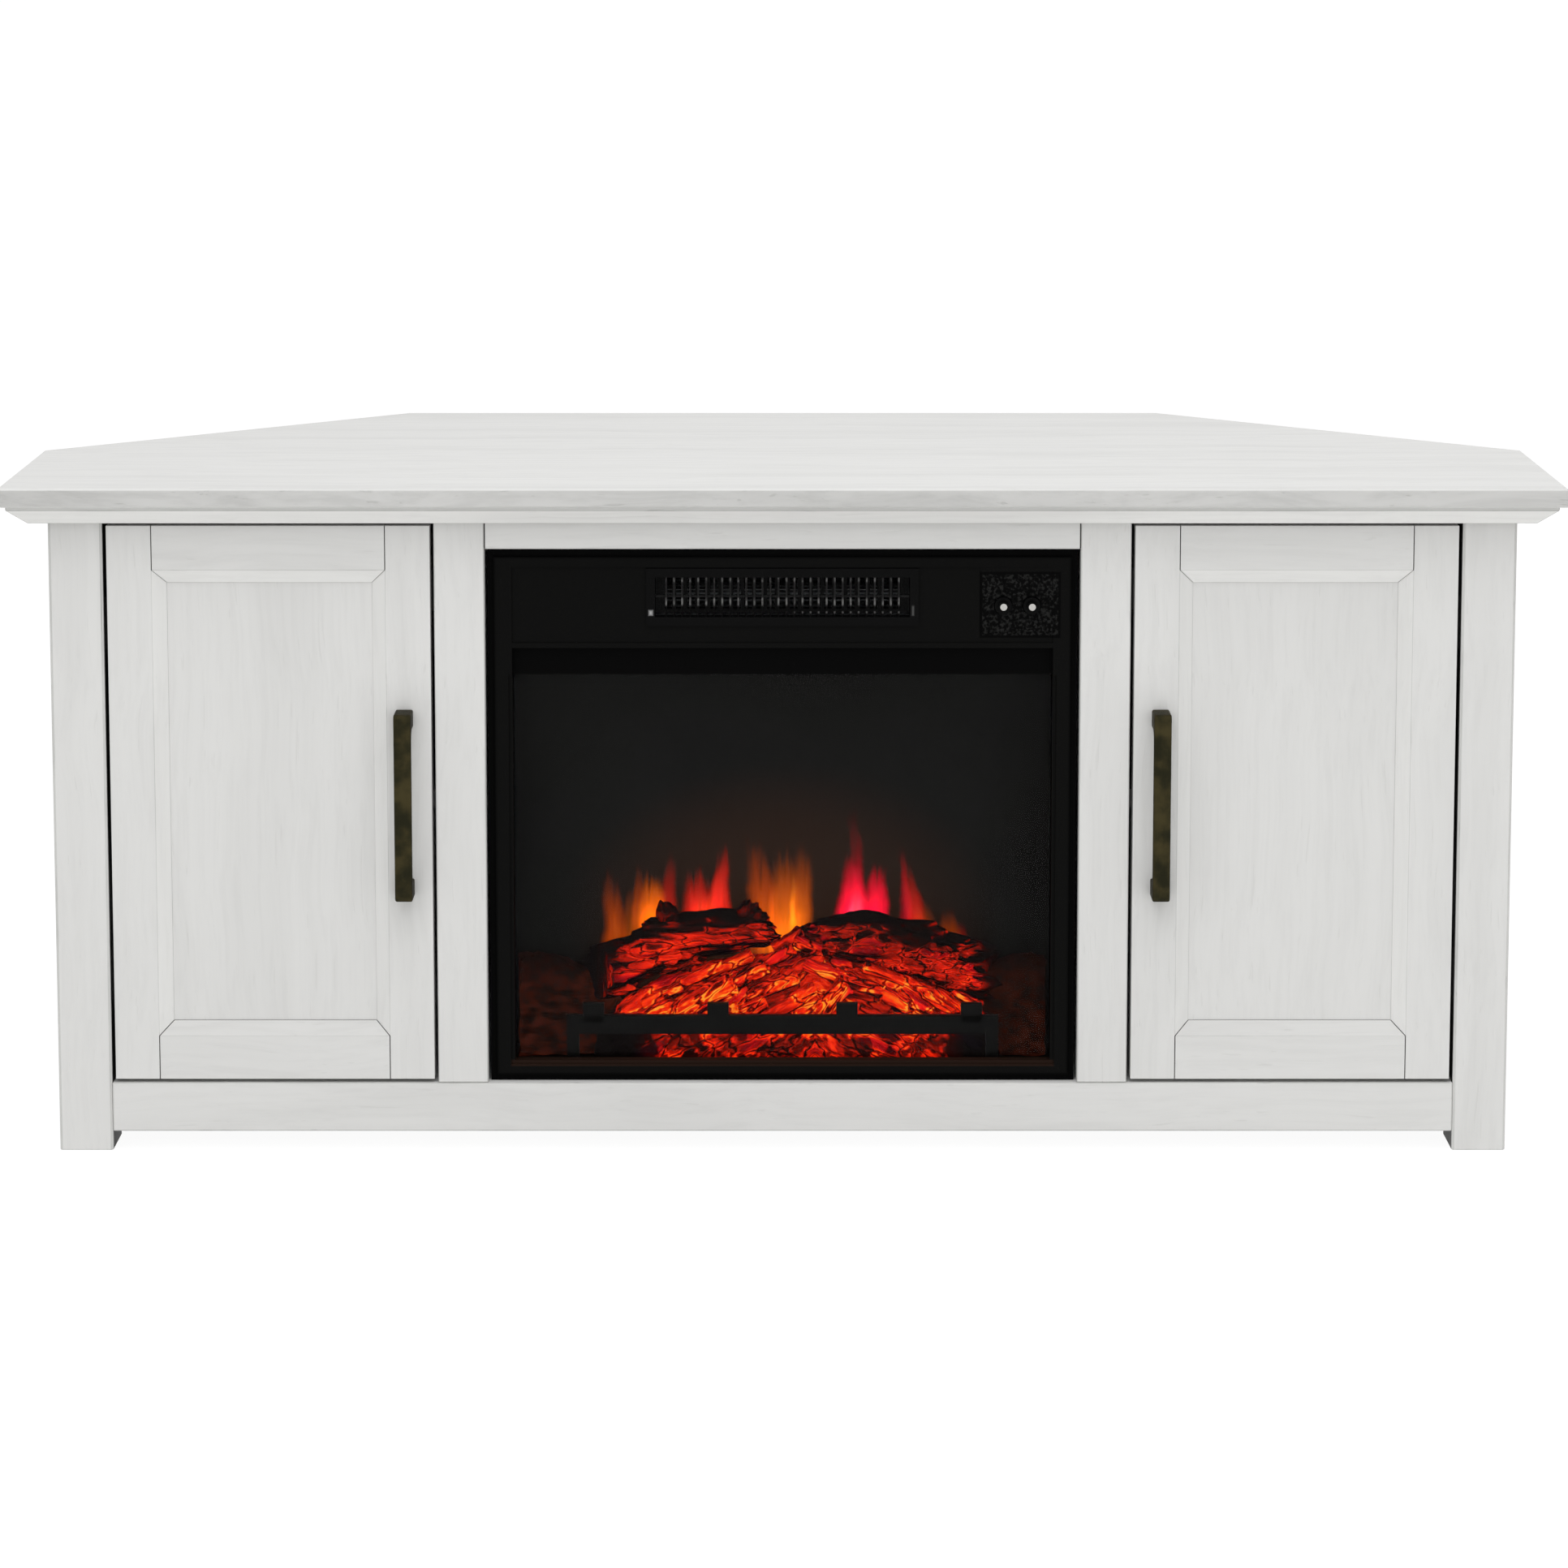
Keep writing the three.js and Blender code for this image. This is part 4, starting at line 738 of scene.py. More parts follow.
# left edge, foot, width, height and brightness of each painted glint
PAINTED_GLINTS = ((-0.1056, 0.4286, 0.0046, 0.0054, 0.34), (0.1010, 0.4286, 0.0028, 0.0088, 0.10))
outlet_plastic = black_finish("outlet_plastic", 0.0020, grey(0.0034), 0.5, 2200, 0.05)
shader, coat, place = reopen(outlet_plastic)
x, _, z = axes(place)


def near_height(height, reach):
    """A soft mask of the places near one height."""
    return between(abs(z - height), reach, reach * 0.4)


ends = calc("MAXIMUM", between(z, FIN_TOP - 2 * MM, FIN_TOP), near_height(FIN_FOOT, 4 * MM))
# painted highlight on the fin ends and on the lip
painted_highlight = ends * between(noise(place, 150), 0.38, 0.60, 0.15, 1.0)
lip_highlight = near_height(LIP, 1.2 * MM) * between(x, 0.0, 0.02) * 0.5
below = between(z, FIN_FOOT - 4 * MM, FIN_FOOT - 2 * MM)
fins = mix(below, grey(0.0010), grey(0.013))
fins = mix(calc("MAXIMUM", painted_highlight, lip_highlight), fins, (0.12, 0.12, 0.117, 1))
coat = mix(inside_box(place, *FINS), coat, fins)
# painted glints at the lower corners
for left, foot, wide, tall, bright in PAINTED_GLINTS:
    glint_mask = inside_box(place, (left, foot), (left + wide, foot + tall), 2 * MM)
    coat = mix(glint_mask, coat, grey(bright))
plug(shader, {"Base Color": coat})
dress("outlet_grille", outlet_plastic)
print("outlet:", outlet_plastic.name, "with", len(PAINTED_GLINTS), "painted_glints")

# %% [markdown]
# The window is smoked heat shield glass, almost clear. A very low, slightly cloudy alpha gives
# its grey veil over the fire and keeps its reflections. Behind it a strip of green circuit board
# lights the logs from below, so it has the copper tracks of such a board.

# %% Glass and circuit board
glass, shader, place = new_finish("smoked_glass")
haze = noise(place, 9)
plug(shader, {"Base Color": mix(haze, grey(0.004), (0.010, 0.009, 0.008, 1)),
              "Roughness": between(haze, 0.3, 0.7, 0.04, 0.08),
              "Alpha": between(haze, 0.3, 0.7, 0.042, 0.056)})
dress("glass_front", glass)
circuit, shader, place = new_finish("solder_mask")
tracks = node("TexBrick", {
    "Vector": stretched(place, (120, 300, 1)), "Mortar Size": 0.03,
    "Color1": (0.01, 0.10, 0.035, 1), "Color2": (0.012, 0.13, 0.045, 1),
    "Mortar": (0.02, 0.2, 0.08, 1)})
plug(shader, {"Base Color": tracks, "Roughness": 0.4})
dress("light_board", circuit)
print("window:", glass.name, "board:", circuit.name)

# %% [markdown]
# ## Knobs
# Each knob is one turned piece with a black skirt and a bright metal cap. The finish is told
# apart by its distance from the knob's axis and how far it stands in front of the skirt.

# %% Knob finish
CAP_RADIUS, CAP_DEPTH = 2.7 * MM, 6.9 * MM


def knob_finish(name):
    low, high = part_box(name)
    axis = ((low.x + high.x) / 2, 0, (low.z + high.z) / 2)
    finish, shader, place = new_finish(name + "_finish")
    place = vector("SUBTRACT", place, axis)
    x, y, z = axes(place)
    cap = (calc("LESS_THAN", calc("SQRT", x * x + z * z), CAP_RADIUS)
           * calc("LESS_THAN", y, low.y + CAP_DEPTH))
    brushed = noise(stretched(place, (900, 200, 900)), 1)
    metal = mix(brushed, (0.42, 0.41, 0.39, 1), (0.66, 0.65, 0.62, 1))
    plug(shader, {"Base Color": mix(cap, grey(0.0015), metal), "Metallic": cap,
                  "Roughness": between(brushed, 0.2, 0.8, 0.28, 0.4), "Specular IOR Level": 0.06})
    return finish


for name in ("flame_knob", "heat_knob"):
    dress(name, knob_finish(name))
print("knob caps:", 2 * CAP_RADIUS / MM, "mm wide")

# %% [markdown]
# ## Glowing embers
# The fuel bed is cast resin, painted black and rubbed back, with lamps inside. Light comes
# through where the paint is thin. So the bed is drawn as long charred plates with glowing rims:
# a stretched Voronoi pattern gives the plates, some of them stay black in the middle, and one
# heat value, which falls off towards the sides and under the grate bar, goes through a ramp from
# black over red to yellow. The group reads a pattern place, in plates, a place on the object, in
# metres, and a shade, which dims the tops and the crevices before the ramp and so keeps the hue.

# %% Ember group
FIRE_MIDDLE, FIRE_FADES, FIRE_ENDS = 0.013, 0.140, 0.198
HEAT_SHARE = 0.795
HEAT_COLOURS = (
    (0.0, (0.0005, 0.0003, 0.0003)), (0.10, (0.020, 0.0008, 0.0004)), (0.25, (0.24, 0.0045, 0.001)),
    (0.44, (0.74, 0.011, 0.002)), (0.64, (1.0, 0.026, 0.002)), (0.84, (1.0, 0.095, 0.004)),
    (1.0, (1.0, 0.33, 0.02)))


def heat_colour(heat):
    made = node("ValToRGB", {0: heat})
    line = made.socket.node.color_ramp.elements
    while len(line) < len(HEAT_COLOURS):
        line.new(0.5)
    for element, (place, colour) in zip(line, HEAT_COLOURS):
        element.position = place
        element.color = (*colour, 1)
    return made


embers, given, out = new_group(
    "embers",
    [("Pattern", "Vector", None), ("Place", "Vector", None), ("Rim glow", "Float", 0.4),
     ("Plate glow", "Float", 0.6), ("Charred", "Float", 0.4), ("Shade", "Float", 1.0)],
    [("Emission", "Color"), ("Base", "Color"), ("Roughness", "Float"), ("Height", "Float")])
bent = swayed(given["Pattern"], given["Pattern"], 1.1, 3.0, 1.1)
plates = {"Vector": bent, "Scale": 1.0}
edge = node("TexVoronoi", plates, feature="DISTANCE_TO_EDGE")
burn_chance, _, rosy_chance = node("SeparateColor", {0: node("TexVoronoi", plates)["Color"]})
fibre = noise(stretched(bent, (0.9, 4.5, 4.5)), 1, 4, 0.65)
x, _, z = axes(given["Place"])

broken = between(noise(given["Pattern"], 2.3), 0.36, 0.58)
rim = between(edge, 0.17, 0.03) * broken * between(z, 0.138, 0.108, 0.85, 1.45)
inner = between(edge, 0.05, 0.20)
burnt = inner * between(burn_chance - given["Charred"], 0.06, -0.06)
plate = given["Plate glow"] * between(fibre, 0.32, 0.66, 0.50, 1.20) * (1.0 - burnt * 0.80)
crack = between(edge, 0.012, 0.065, 0.22, 1.0)
lit = (plate + rim * given["Rim glow"]) * crack

aside = abs(x - FIRE_MIDDLE)
across = between(aside, FIRE_ENDS, FIRE_FADES)
low = between(z, 0.170, 0.120, 0.62, 1.0)
under = between(z, 0.074, 0.098, 0.52, 1.0)
under_side = between(aside + between(z, 0.100, 0.080) * 0.030, 0.165, 0.135)
patch = between(noise(given["Place"], 26, 3, 0.6), 0.34, 0.64, 0.78, 1.24)
gaps = calc("MAXIMUM", between(noise(given["Place"], 75), 0.42, 0.58),
            between(z, 0.084, 0.098, 0.40, 1.0))
heat = across * low * under * under_side * patch * gaps * lit * given["Shade"]

tint = heat_colour(heat * HEAT_SHARE)
rosy = between(rosy_chance, 0.72, 0.80) * inner
plug(out, {"Emission": mix(rosy, tint, stretched(tint, (0.95, 0.35, 3.0))),
           "Base": mix(fibre, (0.0016, 0.0012, 0.0011, 1), (0.006, 0.0034, 0.0028, 1)),
           "Roughness": between(fibre, 0.2, 0.8, 0.7, 0.95),
           "Height": fibre * 0.5 - rim * 0.6})
print("ember group inputs and outputs:", len(embers.interface.items_tree))

# %% [markdown]
# The bark, the knots, the sawn end, the coals and the brands are all embers, with plates of
# their own size and glow. On a log the plates follow the log, so they read the place that the
# piece remembers. On the coal heap they slant down from the middle, as the real pile lies.

# %% Ember finishes
HEAP_RIDGE = 0.026


def slanted(place, degrees):
    """A place on axes that slant down on both sides of the heap's ridge."""
    x, y, z = axes(place)
    out = abs(x - HEAP_RIDGE)
    run, drop = math.cos(math.radians(degrees)), math.sin(math.radians(degrees))
    return node("CombineXYZ", {0: out * run - z * drop, 1: y, 2: out * drop + z * run})


def ember_finish(name, plate_mm, rim_glow, plate_glow, charred, dark_top, slant=None):
    """Embers with plates of one size, along the piece or slanting down from the middle."""
    finish, shader, place = new_finish(name)
    if slant is None:
        own = node("Attribute", tree=place.tree, attribute_name="piece_place")["Vector"]
    else:
        own = slanted(place, slant)
    _, _, facing = axes(node("NewGeometry", tree=place.tree)["Normal"])
    crevice = node("AmbientOcclusion", {"Distance": 11 * MM}, place.tree, samples=6)["AO"]
    shade = (between(facing, 0.25, 0.72, 1.0, 1.0 - dark_top) * between(facing, -0.75, -0.20)
             * between(crevice, 0.30, 0.72, 0.30, 1.0))
    plates = tuple(1 / (size * MM) for size in plate_mm)
    look = use(embers, {"Pattern": stretched(own, plates), "Place": place, "Rim glow": rim_glow,
                        "Plate glow": plate_glow, "Charred": charred, "Shade": shade})
    plug(shader, {"Emission Color": look["Emission"], "Emission Strength": 1.0,
                  "Base Color": look["Base"], "Roughness": look["Roughness"],
                  "Normal": bump(look["Height"], 0.6, 0.001), "Specular IOR Level": 0.0})
    return finish


glowing = {name: ember_finish("glowing_" + name, *recipe) for name, recipe in {
    # name: size of the plates in mm, rim glow, plate glow, charred share, dark top, slant
    "bark": ((30, 10, 10), 0.36, 0.65, 0.26, 1.0), "rough_bark": ((17, 8, 8), 0.42, 0.47, 0.42, 1.0),
    "knots": ((14, 9, 9), 0.10, 0.30, 0.60, 1.0), "sawn_end": ((5, 5, 34), 1.60, 0.60, 0.55, 1.0),
    "coals": ((34, 14, 14), 0.72, 0.82, 0.22, 0.5, 33),
    "brands": ((30, 12, 12), 0.72, 0.84, 0.24, 0.55)}.items()}
print("ember finishes:", *glowing)

# %% [markdown]
# ## Logs
# Each log is grown like a real branch: a disc is extruded ring after ring, each ring a little
# wider, narrower or shifted, and the last face is inset for the broken end. Bark has long
# ridges, so the log is made five times too short, roughened by Displace modifiers, and then
# stretched. The stations below are real sizes, read from the outline against the dark.

# %% Helpers for the fuel bed
clouds = {}
for name, size in (("bark_ridges", 4.5), ("bark_lumps", 14), ("coal_lumps", 9), ("coal_grit", 3)):
    clouds[name] = bpy.data.textures.new(name, "CLOUDS")
    clouds[name].noise_scale = size * MM


def roughen(piece, *steps, coords="GLOBAL"):
    """Pushes the surface in and out by one texture after another, strengths in millimetres."""
    for name, strength, middle in steps:
        apply_modifier(piece, "DISPLACE", texture=clouds[name], texture_coords=coords,
                       strength=strength * MM, mid_level=middle)


def remember_place(piece, shift=(0, 0, 0)):
    """Keeps each point's place on the piece itself, for the pattern that follows the piece."""
    store = piece.data.attributes.new("piece_place", "FLOAT_VECTOR", "POINT")
    flat = []
    for point in piece.data.vertices:
        flat.extend(point.co + Vector(shift))
    store.data.foreach_set("vector", flat)


def put(piece, place, turn):
    piece.rotation_euler = turn
    piece.location = place
    pick(piece)
    apply_place()


def shade(angle):
    bpy.ops.object.shade_smooth_by_angle(angle=math.radians(angle))


def settle_fuel(piece, finish):
    piece.data.materials.clear()
    piece.data.materials.append(finish)
    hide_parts("log_set")
    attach(piece, "cabinet")


print("textures:", *clouds)

# %% Growing a log
SQUASH = 5.0


def grow_log(name, stations, rings=44, sides=64, rough=1.0):
    """A log along +X through stations of (x, radius, height of the centre), in millimetres."""
    def station(x):
        for (x0, r0, h0), (x1, r1, h1) in zip(stations, stations[1:]):
            if x <= x1:
                k = (x - x0) / (x1 - x0)
                k = k * k * (3 - 2 * k)
                return (r0 + (r1 - r0) * k) * MM, (h0 + (h1 - h0) * k) * MM
        return stations[-1][1] * MM, stations[-1][2] * MM

    first, last = stations[0][0], stations[-1][0]
    radius, lift = station(first)
    log = start(bpy.ops.mesh.primitive_circle_add, name, place=(first * MM / SQUASH, 0, lift),
                vertices=sides, radius=radius, fill_type="NGON", rotation=(0, math.radians(90), 0))
    open_mesh(log)
    step = (last - first) * MM / SQUASH / rings
    for ring in range(1, rings + 1):
        x = first + (last - first) * ring / rings
        wide, high = station(x)
        bpy.ops.mesh.extrude_region_move(TRANSFORM_OT_translate={"value": (step, 0, high - lift)})
        grow = wide / radius
        bpy.ops.transform.resize(value=(1, grow, grow), center_override=(x * MM / SQUASH, 0, high))
        radius, lift = wide, high
    bpy.ops.mesh.inset(thickness=radius * 0.25)
    select_mesh()
    bpy.ops.mesh.normals_make_consistent(inside=False)
    close_mesh()
    roughen(log, ("bark_lumps", 7 * rough, 0.5), ("bark_ridges", 4.2 * rough, 0.5), coords="LOCAL")
    open_mesh(log)
    bpy.ops.transform.resize(value=(SQUASH, 1, 1), center_override=(0, 0, 0))
    close_mesh()
    remember_place(log)
    shade(50)
    return log


LOG_Y = -0.148
left_log = grow_log("left_log", [(-176, 20, 113), (-140, 21.5, 127), (-98, 23.5, 147),
                                 (-50, 18.5, 158), (-20, 15, 160), (-1, 7, 157)])
put(left_log, (0, LOG_Y, 0), (0, 0, 0))
right_log = grow_log("right_log", [(14, 8, 158), (43, 20, 153), (67, 23.5, 152), (107, 25, 141),
                                   (140, 24, 129.5), (168, 18, 122)])
put(right_log, (0, LOG_Y, 0), (0, 0, 0))
settle_fuel(left_log, glowing["bark"])
settle_fuel(right_log, glowing["rough_bark"])
print("logs:", left_log.dimensions[:], right_log.dimensions[:])

# %% [markdown]
# The left log shows its sawn end. A saw cut is a flat face at an angle, so the log is bisected
# by a tilted plane and the cut is filled. The fill takes a finish of its own, with upright
# cracks. Two short logs stood on end make the knots on its back.

# %% Sawn end and knots
CUT_PLACE, CUT_FACING = Vector((-0.152, LOG_Y, 0.120)), Vector((-0.81, -0.58, 0.0)).normalized()
open_mesh(left_log)
bpy.ops.mesh.bisect(plane_co=CUT_PLACE, plane_no=CUT_FACING, clear_outer=True, use_fill=True)
close_mesh()
shade(50)
left_log.data.materials.append(glowing["sawn_end"])
for polygon in left_log.data.polygons:
    on_cut = abs((polygon.center - CUT_PLACE).dot(CUT_FACING)) < 0.2 * MM
    polygon.material_index = 1 if on_cut and polygon.normal.dot(CUT_FACING) > 0.9 else 0

for name, place, lean, tall, wide in (("front_knot", (-0.089, -0.150, 0.160), -14, 22, 12),
                                      ("rear_knot", (-0.029, -0.146, 0.163), 16, 18, 15)):
    knot = grow_log(name, [(0, wide, 0), (tall * 0.6, wide * 0.8, 1), (tall, wide * 0.42, 2)],
                    14, 32, 0.6)
    put(knot, place, (0, math.radians(-90 + lean), 0))
    settle_fuel(knot, glowing["knots"])
print("sawn faces:", sum(polygon.material_index for polygon in left_log.data.polygons))

# %% [markdown]
# ## Coals
# In front of the logs lies one heap of glowing coals. It starts as a stretched sphere that is
# cut flat at the floor, and Displace modifiers break its surface into lumps and then grit. The
# side banks further down are made the same way, so a helper makes any such mound.

# %% Coal heap
HEAP_MIDDLE, HEAP_HALF = Vector((0.012, -0.158, 0.060)), Vector((0.165, 0.034, 0.084))
BED_FLOOR, BED_FRONT, BED_END = 0.0574, -0.1935, 0.216
CUT_ABOVE_FLOOR, CUT_BEFORE_END = 0.6 * MM, 3 * MM


def keep_in_bed(piece):
    for point in piece.data.vertices:
        point.co.x = max(-BED_END, min(BED_END, point.co.x))
        point.co.y = max(point.co.y, BED_FRONT)
        point.co.z = max(point.co.z, BED_FLOOR)


def make_mound(name, middle, half, segments, rings, lumps, wall=0):
    """A lumpy mound, cut flat at the floor and, if a wall is given, at that wall's side."""
    mound = start(bpy.ops.mesh.primitive_uv_sphere_add, name, half, middle,
                  segments=segments, ring_count=rings, radius=1)
    open_mesh(mound)
    bpy.ops.mesh.bisect(plane_co=(0, 0, BED_FLOOR + CUT_ABOVE_FLOOR), plane_no=(0, 0, 1),
                        clear_inner=True, use_fill=True)
    if wall:
        select_mesh()
        bpy.ops.mesh.bisect(plane_co=(wall * (BED_END - CUT_BEFORE_END), 0, 0),
                            plane_no=(wall, 0, 0), clear_outer=True, use_fill=True)
    close_mesh()
    roughen(mound, ("coal_lumps", lumps, 0.6), ("coal_grit", 3.5, 0.5))
    keep_in_bed(mound)
    return mound


heap = make_mound("coal_heap", HEAP_MIDDLE, HEAP_HALF, 150, 70, 7)
remember_place(heap)
shade(60)
settle_fuel(heap, glowing["coals"])
print("coal heap:", heap.dimensions[:], len(heap.data.polygons), "faces")

# %% [markdown]
# The fuel bed runs on to both walls of the housing as a low dark bank. Only a breath of red gets
# through it, so it takes a finish of its own: dark resin with faint, patchy, red-brown light,
# which fades near the top of the bank and is weaker on the right.

# %% Side banks
BANK_MIDDLE, BANK_HALF = Vector((0.200, -0.137, 0.040)), Vector((0.090, 0.022, 0.098))
ash, shader, place = new_finish("faint_ash")
x, _, z = axes(place)
lumps = noise(stretched(place, (90, 90, 150)), 1, 4, 0.65)
faint = (between(lumps, 0.38, 0.64) * between(z, 0.136, 0.112, 0.15, 1.0)
         * between(x, -0.15, 0.15, 1.0, 0.62))
plug(shader, {
    "Base Color": mix(lumps, (0.0012, 0.0009, 0.0008, 1), (0.004, 0.0024, 0.002, 1)),
    "Emission Color": mix(faint, (0.0020, 0.0003, 0.0001, 1), (0.034, 0.0052, 0.0020, 1)),
    "Emission Strength": 1.0, "Roughness": between(lumps, 0.3, 0.7, 0.75, 0.95),
    "Normal": bump(lumps, 0.5, 0.001), "Specular IOR Level": 0.0})
for side, out in (("right_", 1), ("left_", -1)):
    middle = Vector((out * BANK_MIDDLE.x, BANK_MIDDLE.y, BANK_MIDDLE.z))
    bank = make_mound(side + "ash_bank", middle, BANK_HALF, 80, 40, 8, wall=out)
    shade(60)
    settle_fuel(bank, ash)
print("side banks reach", BED_END)

# %% [markdown]
# ## Outer grate posts
# Four short posts stand on the grate bar to hold the fuel back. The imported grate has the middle
# two. The outer two show as black notches against the glow, so they are added here, each an
# extruded and bevelled block of the same size as the middle ones, and they ride with the grate.

# %% Outer posts
grate_low, grate_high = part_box("grate")
POST_WIDE, POST_THICK, POST_TALL, POST_OUT = 17 * MM, 6 * MM, 16 * MM, 151 * MM
for side, out in (("right_", POST_OUT), ("left_", -POST_OUT)):
    post = start(bpy.ops.mesh.primitive_plane_add, side + "outer_post", (POST_WIDE, POST_THICK, 1),
                 (out, grate_low.y + POST_THICK / 2, grate_high.z - POST_TALL), size=1)
    open_mesh(post)
    bpy.ops.mesh.extrude_region_move(TRANSFORM_OT_translate={"value": (0, 0, POST_TALL)})
    select_mesh()
    bpy.ops.mesh.normals_make_consistent(inside=False)
    bpy.ops.mesh.bevel(offset=0.5 * MM, segments=2)
    close_mesh()
    post.data.materials.append(powder_coat)
    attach(post, "cabinet")
print("outer posts at", round(POST_OUT, 3), "top", round(grate_high.z, 4))

# %% [markdown]
# ## Charred brands
# Split pieces of wood lean against the heap from both sides and meet in the middle. Each is a
# cube stretched to a stick, bevelled and cut finer, and roughened where it lies, so that no two
# are alike. Their places are those that stand out in front: middle, length, width and slope.

# %% Brands on the heap
dice = random.Random(7)
BRANDS = (
    # middle x, middle z, length, width, slope (+ rises to the right), all in mm and degrees
    (-122, 90, 34, 11, 20), (-103, 98, 38, 12, 27), (-80, 92, 28, 10, 32), (-62, 111, 54, 17, 30),
    (-97, 112, 36, 9, 27), (-66, 128, 40, 9, 25), (-46, 97, 28, 12, 36), (-42, 136, 38, 10, 24),
    (-27, 129, 34, 12, 30), (-8, 121, 42, 12, 27), (-24, 104, 26, 11, 30), (5, 108, 50, 11, 30),
    (-6, 141, 34, 11, 30), (16, 136, 36, 11, 26), (4, 153, 28, 10, 34), (20, 150, 26, 10, -28),
    (40, 111, 36, 15, 50), (34, 132, 36, 11, -24), (55, 141, 36, 9, -20), (62, 119, 40, 15, -13),
    (72, 98, 28, 11, -24), (86, 111, 34, 12, -28), (96, 94, 26, 10, -35), (82, 129, 36, 8, -20),
    (106, 107, 32, 10, -30), (118, 95, 28, 10, -28), (136, 91, 24, 9, -25), (126, 106, 28, 8, -32),
    (148, 106, 28, 9, -30), (158, 94, 24, 9, -34))
OFF_THE_HEAP = 2.5 * MM


def heap_front(x, z):
    """How far forward the heap reaches at a place."""
    gone = ((x - HEAP_MIDDLE.x) / HEAP_HALF.x) ** 2 + ((z - HEAP_MIDDLE.z) / HEAP_HALF.z) ** 2
    return HEAP_MIDDLE.y - HEAP_HALF.y * math.sqrt(max(0.0, 1 - gone))


sticks = []
for x_mm, z_mm, long, wide, slope in BRANDS:
    stick = start(bpy.ops.mesh.primitive_cube_add, f"brand_{len(sticks):02d}",
                  (long * MM, wide * 0.8 * MM, wide * MM), size=1)
    open_mesh(stick)
    bpy.ops.mesh.bevel(offset=wide * 0.22 * MM, segments=2)
    select_mesh()
    bpy.ops.mesh.subdivide(number_cuts=3)
    close_mesh()
    remember_place(stick, (dice.uniform(0, 1), dice.uniform(0, 1), dice.uniform(0, 1)))
    place = (x_mm * MM, heap_front(x_mm * MM, z_mm * MM) - OFF_THE_HEAP, z_mm * MM)
    put(stick, place, (math.radians(dice.uniform(5, 30)), math.radians(-slope),
                       math.radians(dice.uniform(-10, 10))))
    roughen(stick, ("coal_lumps", 5, 0.5), ("coal_grit", 3, 0.5))
    keep_in_bed(stick)
    sticks.append(stick)
pick(sticks[0])
for stick in sticks:
    stick.select_set(True)
bpy.ops.object.join()
pile = bpy.context.object
pile.name = "charred_brands"
shade(45)
settle_fuel(pile, glowing["brands"])
print("brands:", len(BRANDS), len(pile.data.polygons), "faces")

# %% [markdown]
# ## Flames
# The flames are light thrown by the turning petals up a dark, half-mirrored sheet behind the
# logs. So they are drawn on that sheet as glowing tongues: each has a foot, a height, a width and
# a lean, is brightest low down, fades to its tip and is combed by fine upright strands. One
# tongue is a node group, placed many times with its own numbers, in millimetres on the sheet.

# %% Flame tongue group
tongue, given, out = new_group(
    "flame_tongue",
    [(title, "Float", default) for title, default in (
        ("X", 0.0), ("Z", 0.0), ("Foot X", 0.0), ("Foot Z", 0.0), ("Tall", 50.0),
        ("Half width", 12.0), ("Lean", 0.0))],
    [("Mask", "Float"), ("Core", "Float")])
rise = (given["Z"] - given["Foot Z"]) / given["Tall"]
bend = calc("POWER", calc("MAXIMUM", rise, 0.0), 1.3)
flat = node("CombineXYZ", {0: given["X"], 2: given["Z"]})
waver = noise(stretched(flat, (0.03, 0, 0.03)), 1)
middle = given["Foot X"] + given["Lean"] * bend + (waver - 0.5) * 12.0
strands = noise(stretched(flat, (0.20, 0, 0.016)), 1, 3, 0.55)
reach = rise + (strands - 0.5) * 0.9
left_over = calc("SUBTRACT", 1.0, rise * 0.85, clamp=True)
wide = given["Half width"] * calc("POWER", left_over, 0.55)
aside = abs(given["X"] - middle) / calc("MAXIMUM", wide, 0.6)
foot = between(rise, -0.30, 0.05)
plug(out, {"Mask": (between(aside, 1.15, 0.30) * between(reach, 1.02, 0.05) * foot
                    * between(strands, 0.36, 0.62, 0.60, 1.15)),
           "Core": between(aside, 0.65, 0.0) * between(rise, 0.60, 0.10) * foot})
print("tongue group inputs and outputs:", len(tongue.interface.items_tree))

# %% [markdown]
# The tongues are added up on the sheet, each a little hotter in its core. A faint warm haze
# hangs over the fire, widest low in the middle. Where flames stand, the sheet's own grey is
# taken away, so that room light does not wash them out.

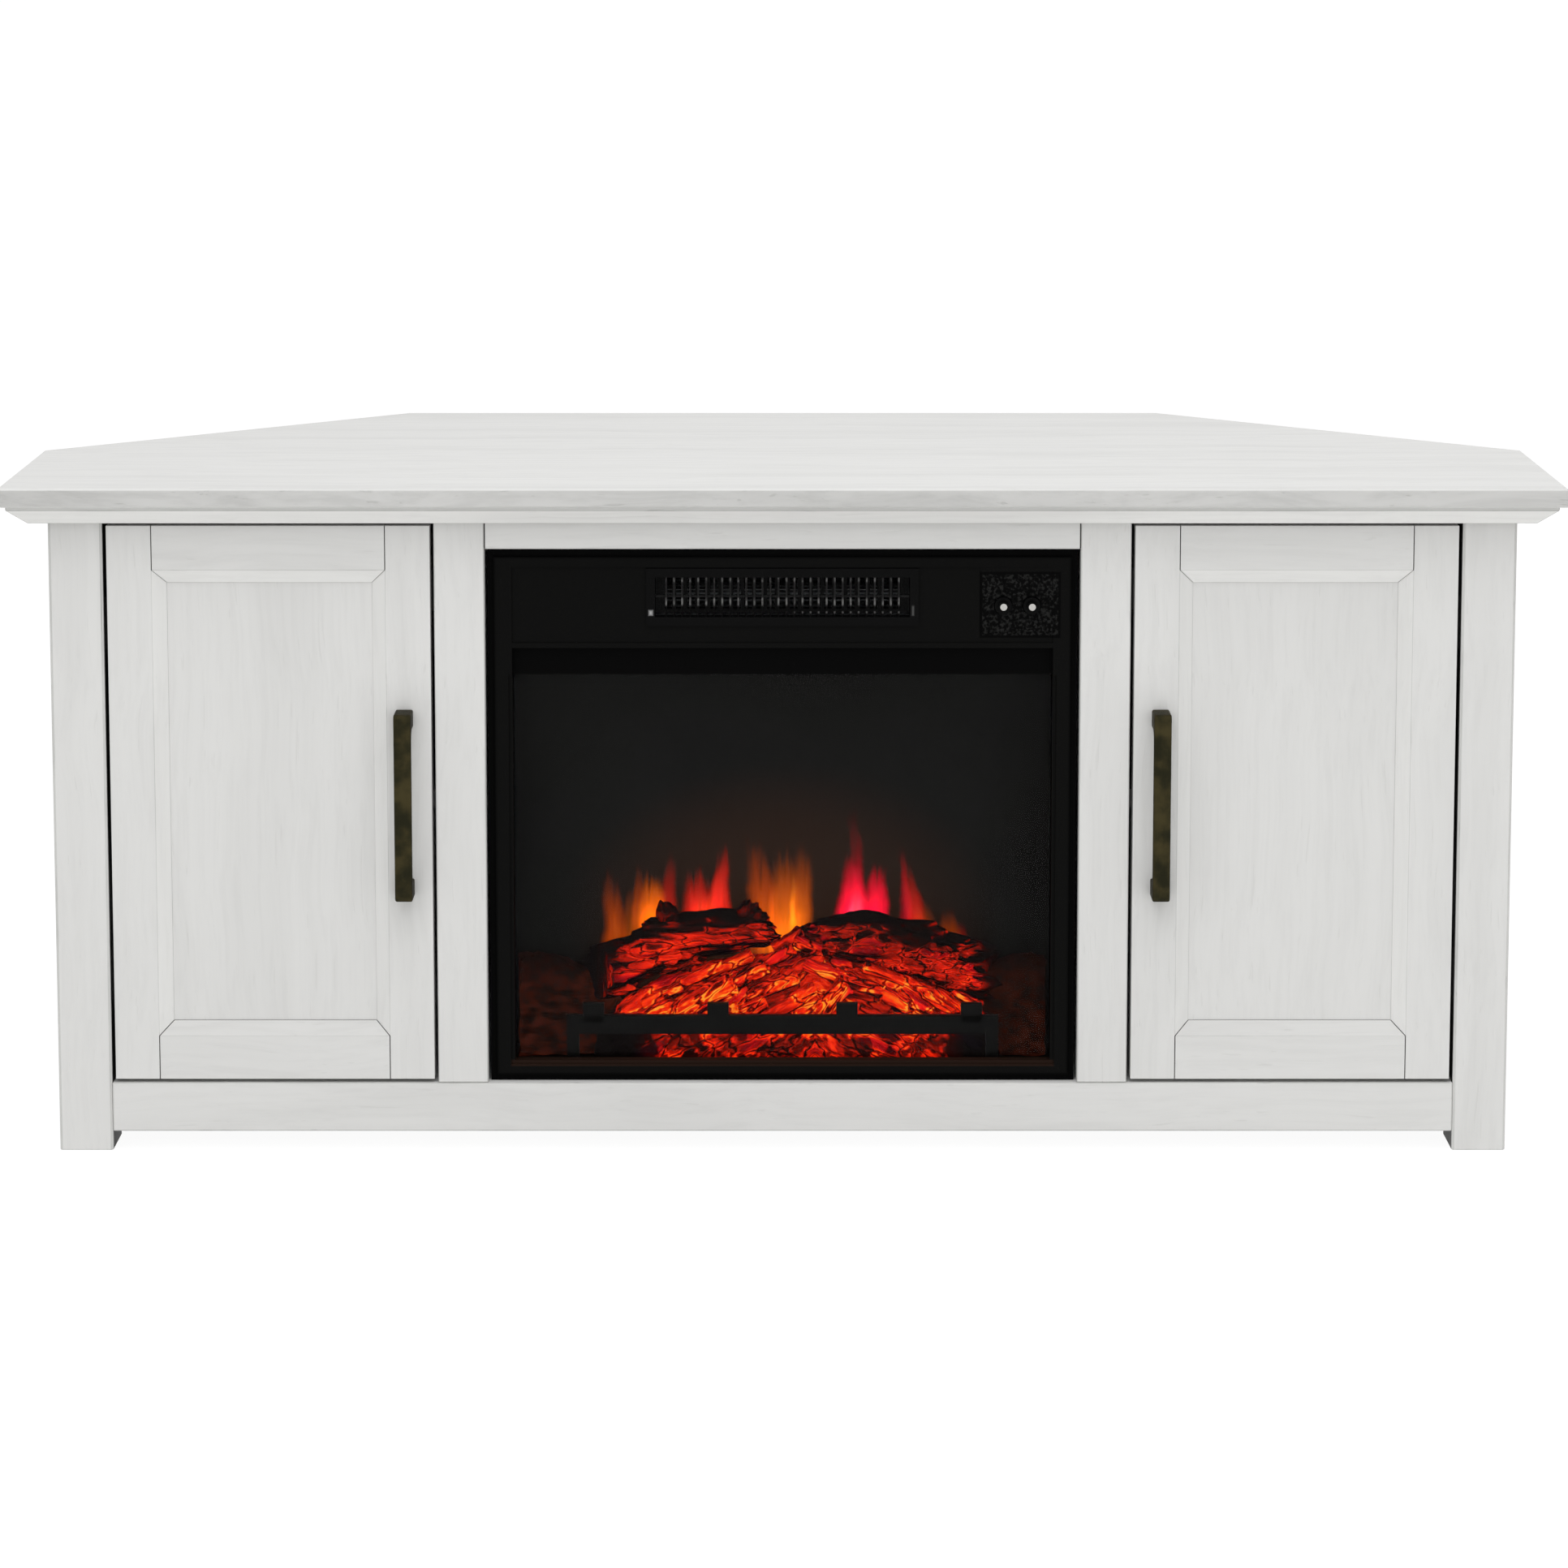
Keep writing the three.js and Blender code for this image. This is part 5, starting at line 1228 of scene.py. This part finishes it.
# %% Flame screen
AMBER, ORANGE, RED = (1.0, 0.145, 0.001), (0.75, 0.085, 0.001), (0.95, 0.018, 0.008)
ROSE, YELLOW, PINK = (1.0, 0.001, 0.030), (1.0, 0.30, 0.01), (1.0, 0.20, 0.28)
TONGUES = (
    # foot x, foot z, height, half width, lean, colour, strength
    (-136, 140, 60, 13, -4, ORANGE, 0.62), (-124, 146, 44, 8, 2, AMBER, 0.24),
    (-104, 148, 52, 16, -3, AMBER, 1.90), (-94, 160, 58, 10, 6, RED, 0.44),
    (-116, 158, 48, 7, -3, ORANGE, 0.52), (-66, 152, 50, 17, -4, RED, 1.45),
    (-52, 154, 70, 11, 4, RED, 1.45), (-62, 150, 34, 16, 0, ORANGE, 0.60),
    (-12, 142, 84, 17, -11, ORANGE, 0.95), (2, 138, 82, 19, 0, AMBER, 1.05),
    (15, 140, 84, 12, 3, AMBER, 0.80), (8, 158, 40, 4, 2, YELLOW, 0.55),
    (56, 154, 62, 16, 1, ROSE, 1.80), (74, 154, 56, 13, 5, ROSE, 1.80),
    (62, 160, 96, 8, -4, ROSE, 0.30), (60, 152, 36, 9, 0, PINK, 0.60),
    (112, 144, 72, 11, -15, RED, 0.62), (101, 162, 62, 6, -4, ROSE, 0.28),
    (118, 142, 34, 13, -4, ORANGE, 0.45), (138, 136, 36, 11, -4, ORANGE, 0.45),
    (146, 132, 28, 8, 0, RED, 0.30))
HAZE_HALF, HAZE_HEIGHT, HAZE_MIDDLE = 170.0, 120.0, 165.0
HAZE_COLOUR = (0.016, 0.0055, 0.0022)
screen, shader, place = new_finish("flame_screen_glow")
x, _, z = axes(place)
x_mm, z_mm = x * (1 / MM), z * (1 / MM)


def dimmed(colour, strength):
    return node("VectorMath", {0: colour, "Scale": strength}, operation="SCALE")


flames = node("RGB", tree=place.tree)
flames.socket.default_value = grey(0)
for foot_x, foot_z, tall, half, lean, colour, strength in TONGUES:
    flame = use(tongue, {"X": x_mm, "Z": z_mm, "Foot X": foot_x, "Foot Z": foot_z,
                         "Tall": tall, "Half width": half, "Lean": lean})
    hot = (colour[0] * 1.1, colour[1] * 1.3 + 0.002, colour[2] * 1.4 + 0.001, 1)
    lit = dimmed(mix(flame["Core"], (*colour, 1), hot), flame["Mask"] * strength)
    flames = vector("ADD", flames, lit)
far_x, far_z = x_mm / HAZE_HALF, (z_mm - HAZE_MIDDLE) / HAZE_HEIGHT
haze = dimmed(HAZE_COLOUR, between(far_x * far_x + far_z * far_z, 1.2, 0.0))
sheet = mix(noise(place, 12), (0.0056, 0.0056, 0.0052, 1), (0.0076, 0.0074, 0.0068, 1))
plug(shader, {
    "Emission Color": vector("ADD", flames, haze), "Emission Strength": 1.0,
    "Base Color": mix(between(node("SeparateColor", {0: flames}), 0.0, 0.2), sheet, grey(0)),
    "Roughness": 0.35, "Specular IOR Level": 0.04})
dress("flame_screen", screen)
print("flame tongues:", len(TONGUES))
